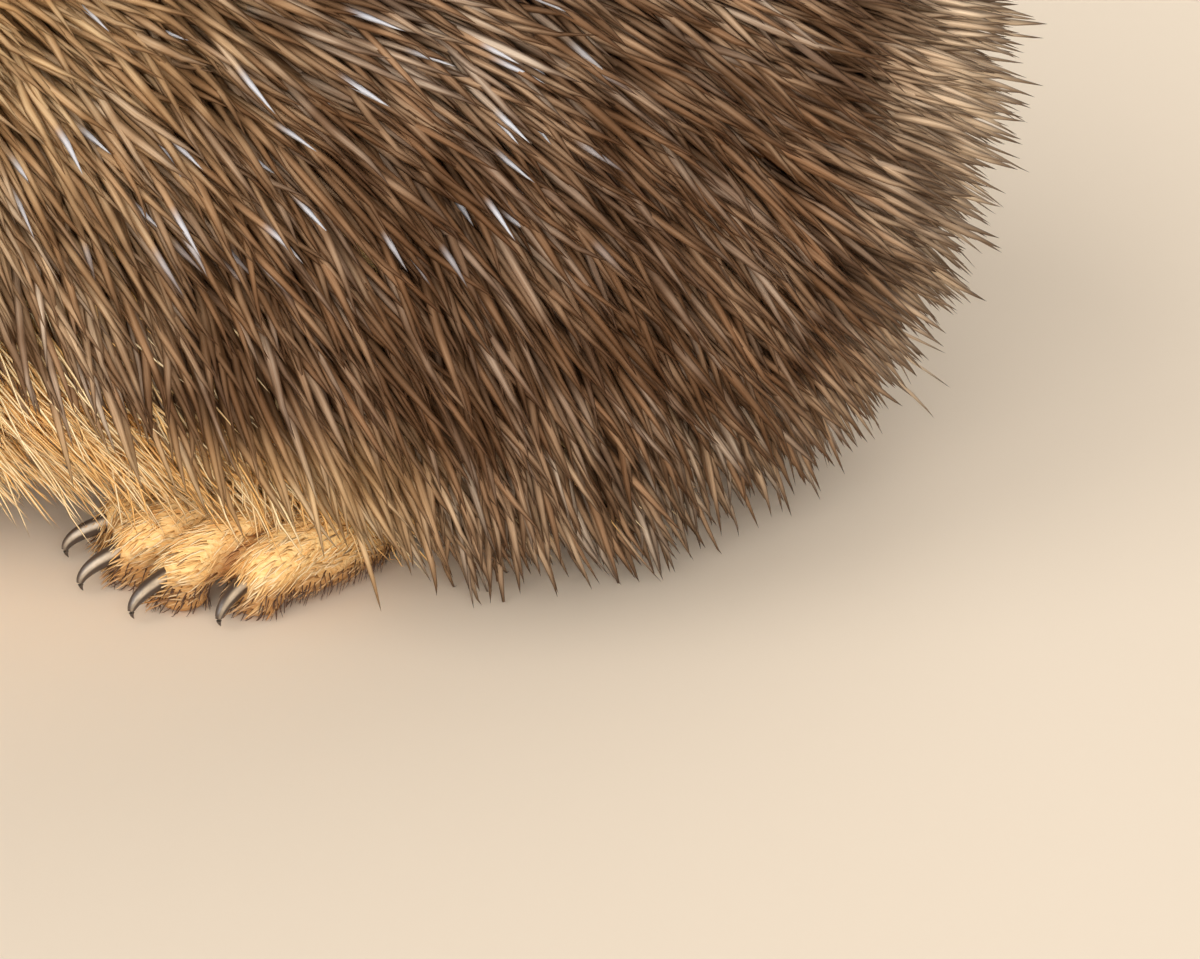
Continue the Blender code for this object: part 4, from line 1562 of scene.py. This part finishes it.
def spine_paint():
    """A tan streak down each spine between darker edges, with grain along it, a dark point, and a pale
    end on a few. The lighter streak and darker edges are painted light and painted shade across each
    round spine, and the pale ends are partly painted highlights. Where the spines grow decides how
    golden, dark or light the streak is: golden and lighter on the shoulder, partly painted light,
    painted shade in a band along the middle of the flank, and painted light on the lowest spines."""
    paint = Paint("spine", Roughness=0.5, Specular_IOR_Level=0.08)
    tone, hue, along, ridge = strand_values(paint)
    gold, rim, heel = golden_and_lit_share(paint), light_rim(paint), heel_share(paint)
    patches = paint.noise(paint.place()[3], 78.0, 2.0).step(0.37, 0.60)
    grain = strand_grain(paint, 5.0, 3.0)
    streak = paint.mix(gold, SPINE_STREAK, SPINE_GOLD)
    streak = paint.mix(hue.step(0.55, 0.85) * (0.65 - 0.30 * gold), streak, SPINE_RUST)
    streak = paint.mix(hue.step(0.32, 0.12) * (1 - gold) * 0.8, streak, SPINE_GREY)
    streak = paint.mix(rim * 0.8, streak, SPINE_CREAM)
    streak = paint.mix(heel * 0.65, streak, SPINE_GOLD)
    # Painted shade at the sides of each spine.
    edge = paint.mix(gold, SPINE_EDGE_SHADE, SPINE_GOLD_EDGE_SHADE)
    edge = paint.mix((1 - patches) * (1 - gold) * 0.7, edge, SPINE_SLATE)
    edge = paint.mix(heel * 0.65, edge, SPINE_GOLD_EDGE_SHADE)
    # Painted light along each spine's middle and painted shade at its sides, with random tone, patches and
    # grain.
    light = ridge.step(-0.60, 0.75) * (0.58 + 0.42 * tone) * (0.12 + 0.88 * patches)
    # Lighter on the golden shoulder, partly painted light, and on the spines behind the rump.
    light = light * (0.56 + 0.44 * grain.step(0.38, 0.58)) + 0.09 + gold * 0.08 + rim * 0.23
    # Painted light on the lowest spines, in the shade under the body.
    light = light + low_painted_light(paint) * 0.26 + heel * 0.10
    # A band of painted shade along the middle of the flank.
    colour = paint.mix(light * (1 - 0.46 * painted_shade_band(paint)), edge, streak)
    # Pale tips on a few spines of the upper coat, partly their own pale end and partly a painted highlight.
    pale = tone.step(0.918, 0.923) * pale_highlight_share(paint) * along.step(0.70, 0.84)
    colour = paint.mix(pale * 0.85, colour, SPINE_PALE_HIGHLIGHT)
    dark_tip = along.step(0.68, 1.0) * (1 - gold * 0.5) * (1 - heel * 0.4) * (1 - pale)
    colour = paint.mix(dark_tip * 0.85, colour, SPINE_TIP)
    paint.colour(colour)
    return paint.material


def fur_paint():
    """Golden hair with a lighter ridge, a painted highlight, some strands deeper, a few dark, and painted
    shade in the clefts between the toes and low round the feet.
    """
    paint = Paint("golden_fur", Roughness=0.62, Specular_IOR_Level=0.25)
    tone, hue, along, ridge = strand_values(paint)
    # A painted highlight along each hair's ridge, darker towards its root.
    light = (0.35 + 0.65 * ridge) * along.step(0.0, 0.8) * tone.step(0.1, 0.9)
    colour = paint.mix(light, paint.mix(tone, GOLD_DEEP, GOLD), GOLD_HIGHLIGHT)
    # Painted shade in the clefts between the toes and low round the feet.
    colour = paint.mix(paint.attribute("foot_shade") * (0.60 + 0.40 * hue), colour, FOOT_SHADE_RUST)
    colour = paint.mix(hue.step(0.94, 0.97) * 0.7, colour, BRISTLE)
    paint.colour(colour)
    return paint.material


def bristle_paint(name, root, tip):
    """Dark stiff hair that lightens or darkens towards its tip."""
    paint = Paint(name, Roughness=0.5)
    tone, along = paint.attribute("tone"), paint.attribute("along")
    paint.colour(paint.mix(along * (0.5 + 0.5 * tone), root, tip))
    return paint.material


def face_colour(paint):
    """Light tan to brown by the face's markings."""
    return paint.mix(paint.attribute("dark"), FACE_LIGHT, FACE_BROWN)


def face_paint():
    """Face hair: the face's markings, with dark and light strands in it."""
    paint = Paint("face_hair", Roughness=0.62, Specular_IOR_Level=0.2)
    tone, hue, along = (paint.attribute(name) for name in ("tone", "hue", "along"))
    colour = face_colour(paint)
    colour = paint.mix(tone.step(0.50, 1.0) * 0.65, colour, FACE_DARK)
    colour = paint.mix(hue.step(0.45, 1.0) * along.step(0.1, 0.8) * 0.6, colour, FACE_PALE)
    paint.colour(colour)
    return paint.material


def skin_paint():
    """Short fur on the skin itself: golden below, the face's markings in front, painted shade between the
    spines, lighter under the golden ones, and painted shade in the clefts between the toes and low round
    the feet.
    """
    paint = Paint("skin_fur", Roughness=0.75, Specular_IOR_Level=0.15)
    _, y, z, vector = paint.place()
    streaks = paint.noise(paint.scaled(vector, 2600, 420, 2600), 1.0, 3.0)
    gold = paint.mix(streaks.step(0.3, 0.7), GOLD_DEEP, GOLD)
    face = paint.mix(streaks.step(0.40, 0.70) * 0.35, face_colour(paint), FACE_DARK)
    front = y.step(-0.052, -0.066) * z.step(0.012, 0.018)
    colour = paint.mix(front, gold, face)
    bare = 1 - y.step(0.056, 0.034) * z.step(0.060, 0.046)
    upper = z.step(0.030, 0.046) * y.step(-0.074, -0.060) * bare
    # Painted shade on the skin between the spines.
    colour = paint.mix(upper, colour, paint.mix(golden_and_lit_share(paint), SHADE_UNDER_SPINES, SHADE_UNDER_GOLD))
    # Painted shade in the clefts between the toes and low round the feet.
    colour = paint.mix(paint.attribute("foot_shade") * 0.85, colour, FOOT_SHADE_RUST)
    colour = paint.mix(paint.attribute("seam") * 0.95, colour, LID_DARK)
    paint.colour(colour)
    paint.bump(streaks, 0.0004, 0.8)
    return paint.material


def eye_paint():
    """A wet black-brown eye."""
    return Paint("eye_gloss", Base_Color=EYE_BLACK, Roughness=0.06, Specular_IOR_Level=0.16).material


def nose_paint():
    """Moist black skin with a fine pebbled grain."""
    paint = Paint("nose_skin", Base_Color=NOSE_BLACK, Roughness=0.34, Specular_IOR_Level=0.30)
    inputs = {"Vector": paint.place()[3], "Scale": 2400.0}
    cells = paint.node("ShaderNodeTexVoronoi", {"feature": "F1"}, inputs)
    paint.bump(Value(paint, cells.outputs["Distance"]) * -1, 0.0002, 0.6)
    return paint.material


def claw_paint():
    """Dark horn with a pale grey-beige stripe along each side, a painted highlight, and a dark tip."""
    paint = Paint("claw_horn", Roughness=0.32, Coat_Weight=0.2)
    along, ridge = paint.attribute("along"), paint.attribute("ridge")
    streaks = paint.noise(paint.place()[3], 1400.0, 2.0)
    # A painted highlight in a stripe along each side of a claw, short of its tip.
    light = ridge.step(0.02, 0.36) * ridge.step(0.92, 0.58) * along.step(1.0, 0.45) * (0.45 + 0.7 * streaks)
    paint.colour(paint.mix(light, HORN_DARK, HORN_HIGHLIGHT))
    paint.bump(streaks, 0.00008, 0.4)
    return paint.material


def floor_paint():
    """Plain pale cream."""
    return Paint("floor", Base_Color=FLOOR_CREAM, Roughness=0.9).material


FLOOR_HALF = 6.0


def make_floor():
    """A wide floor at z = 0 and nothing else."""
    mesh = bpy.data.meshes.new("floor")
    corners = FLOOR_HALF * np.array([(-1, -1, 0), (1, -1, 0), (1, 1, 0), (-1, 1, 0)])
    fill_mesh(mesh, corners, [np.array([[0, 1, 2, 3]])])
    add_piece("floor", mesh, floor_paint())


def main():
    """Camera and studio first, then the skin and all that grows from it."""
    make_camera()
    make_studio()
    make_floor()
    skin = make_skin(skin_paint())
    make_eyes(eye_paint())
    make_nose(nose_paint())
    make_claws(claw_paint())
    make_spines(skin, spine_paint())
    make_fur(skin, fur_paint(), face_paint(), bristle_paint("dark_bristle", BRISTLE, FACE_DARK))
    whisker = bristle_paint("whisker", FACE_DARK, FACE_BROWN)
    make_long_hairs(skin, whisker, bristle_paint("long_hair", GOLD_DEEP, BRISTLE))


main()
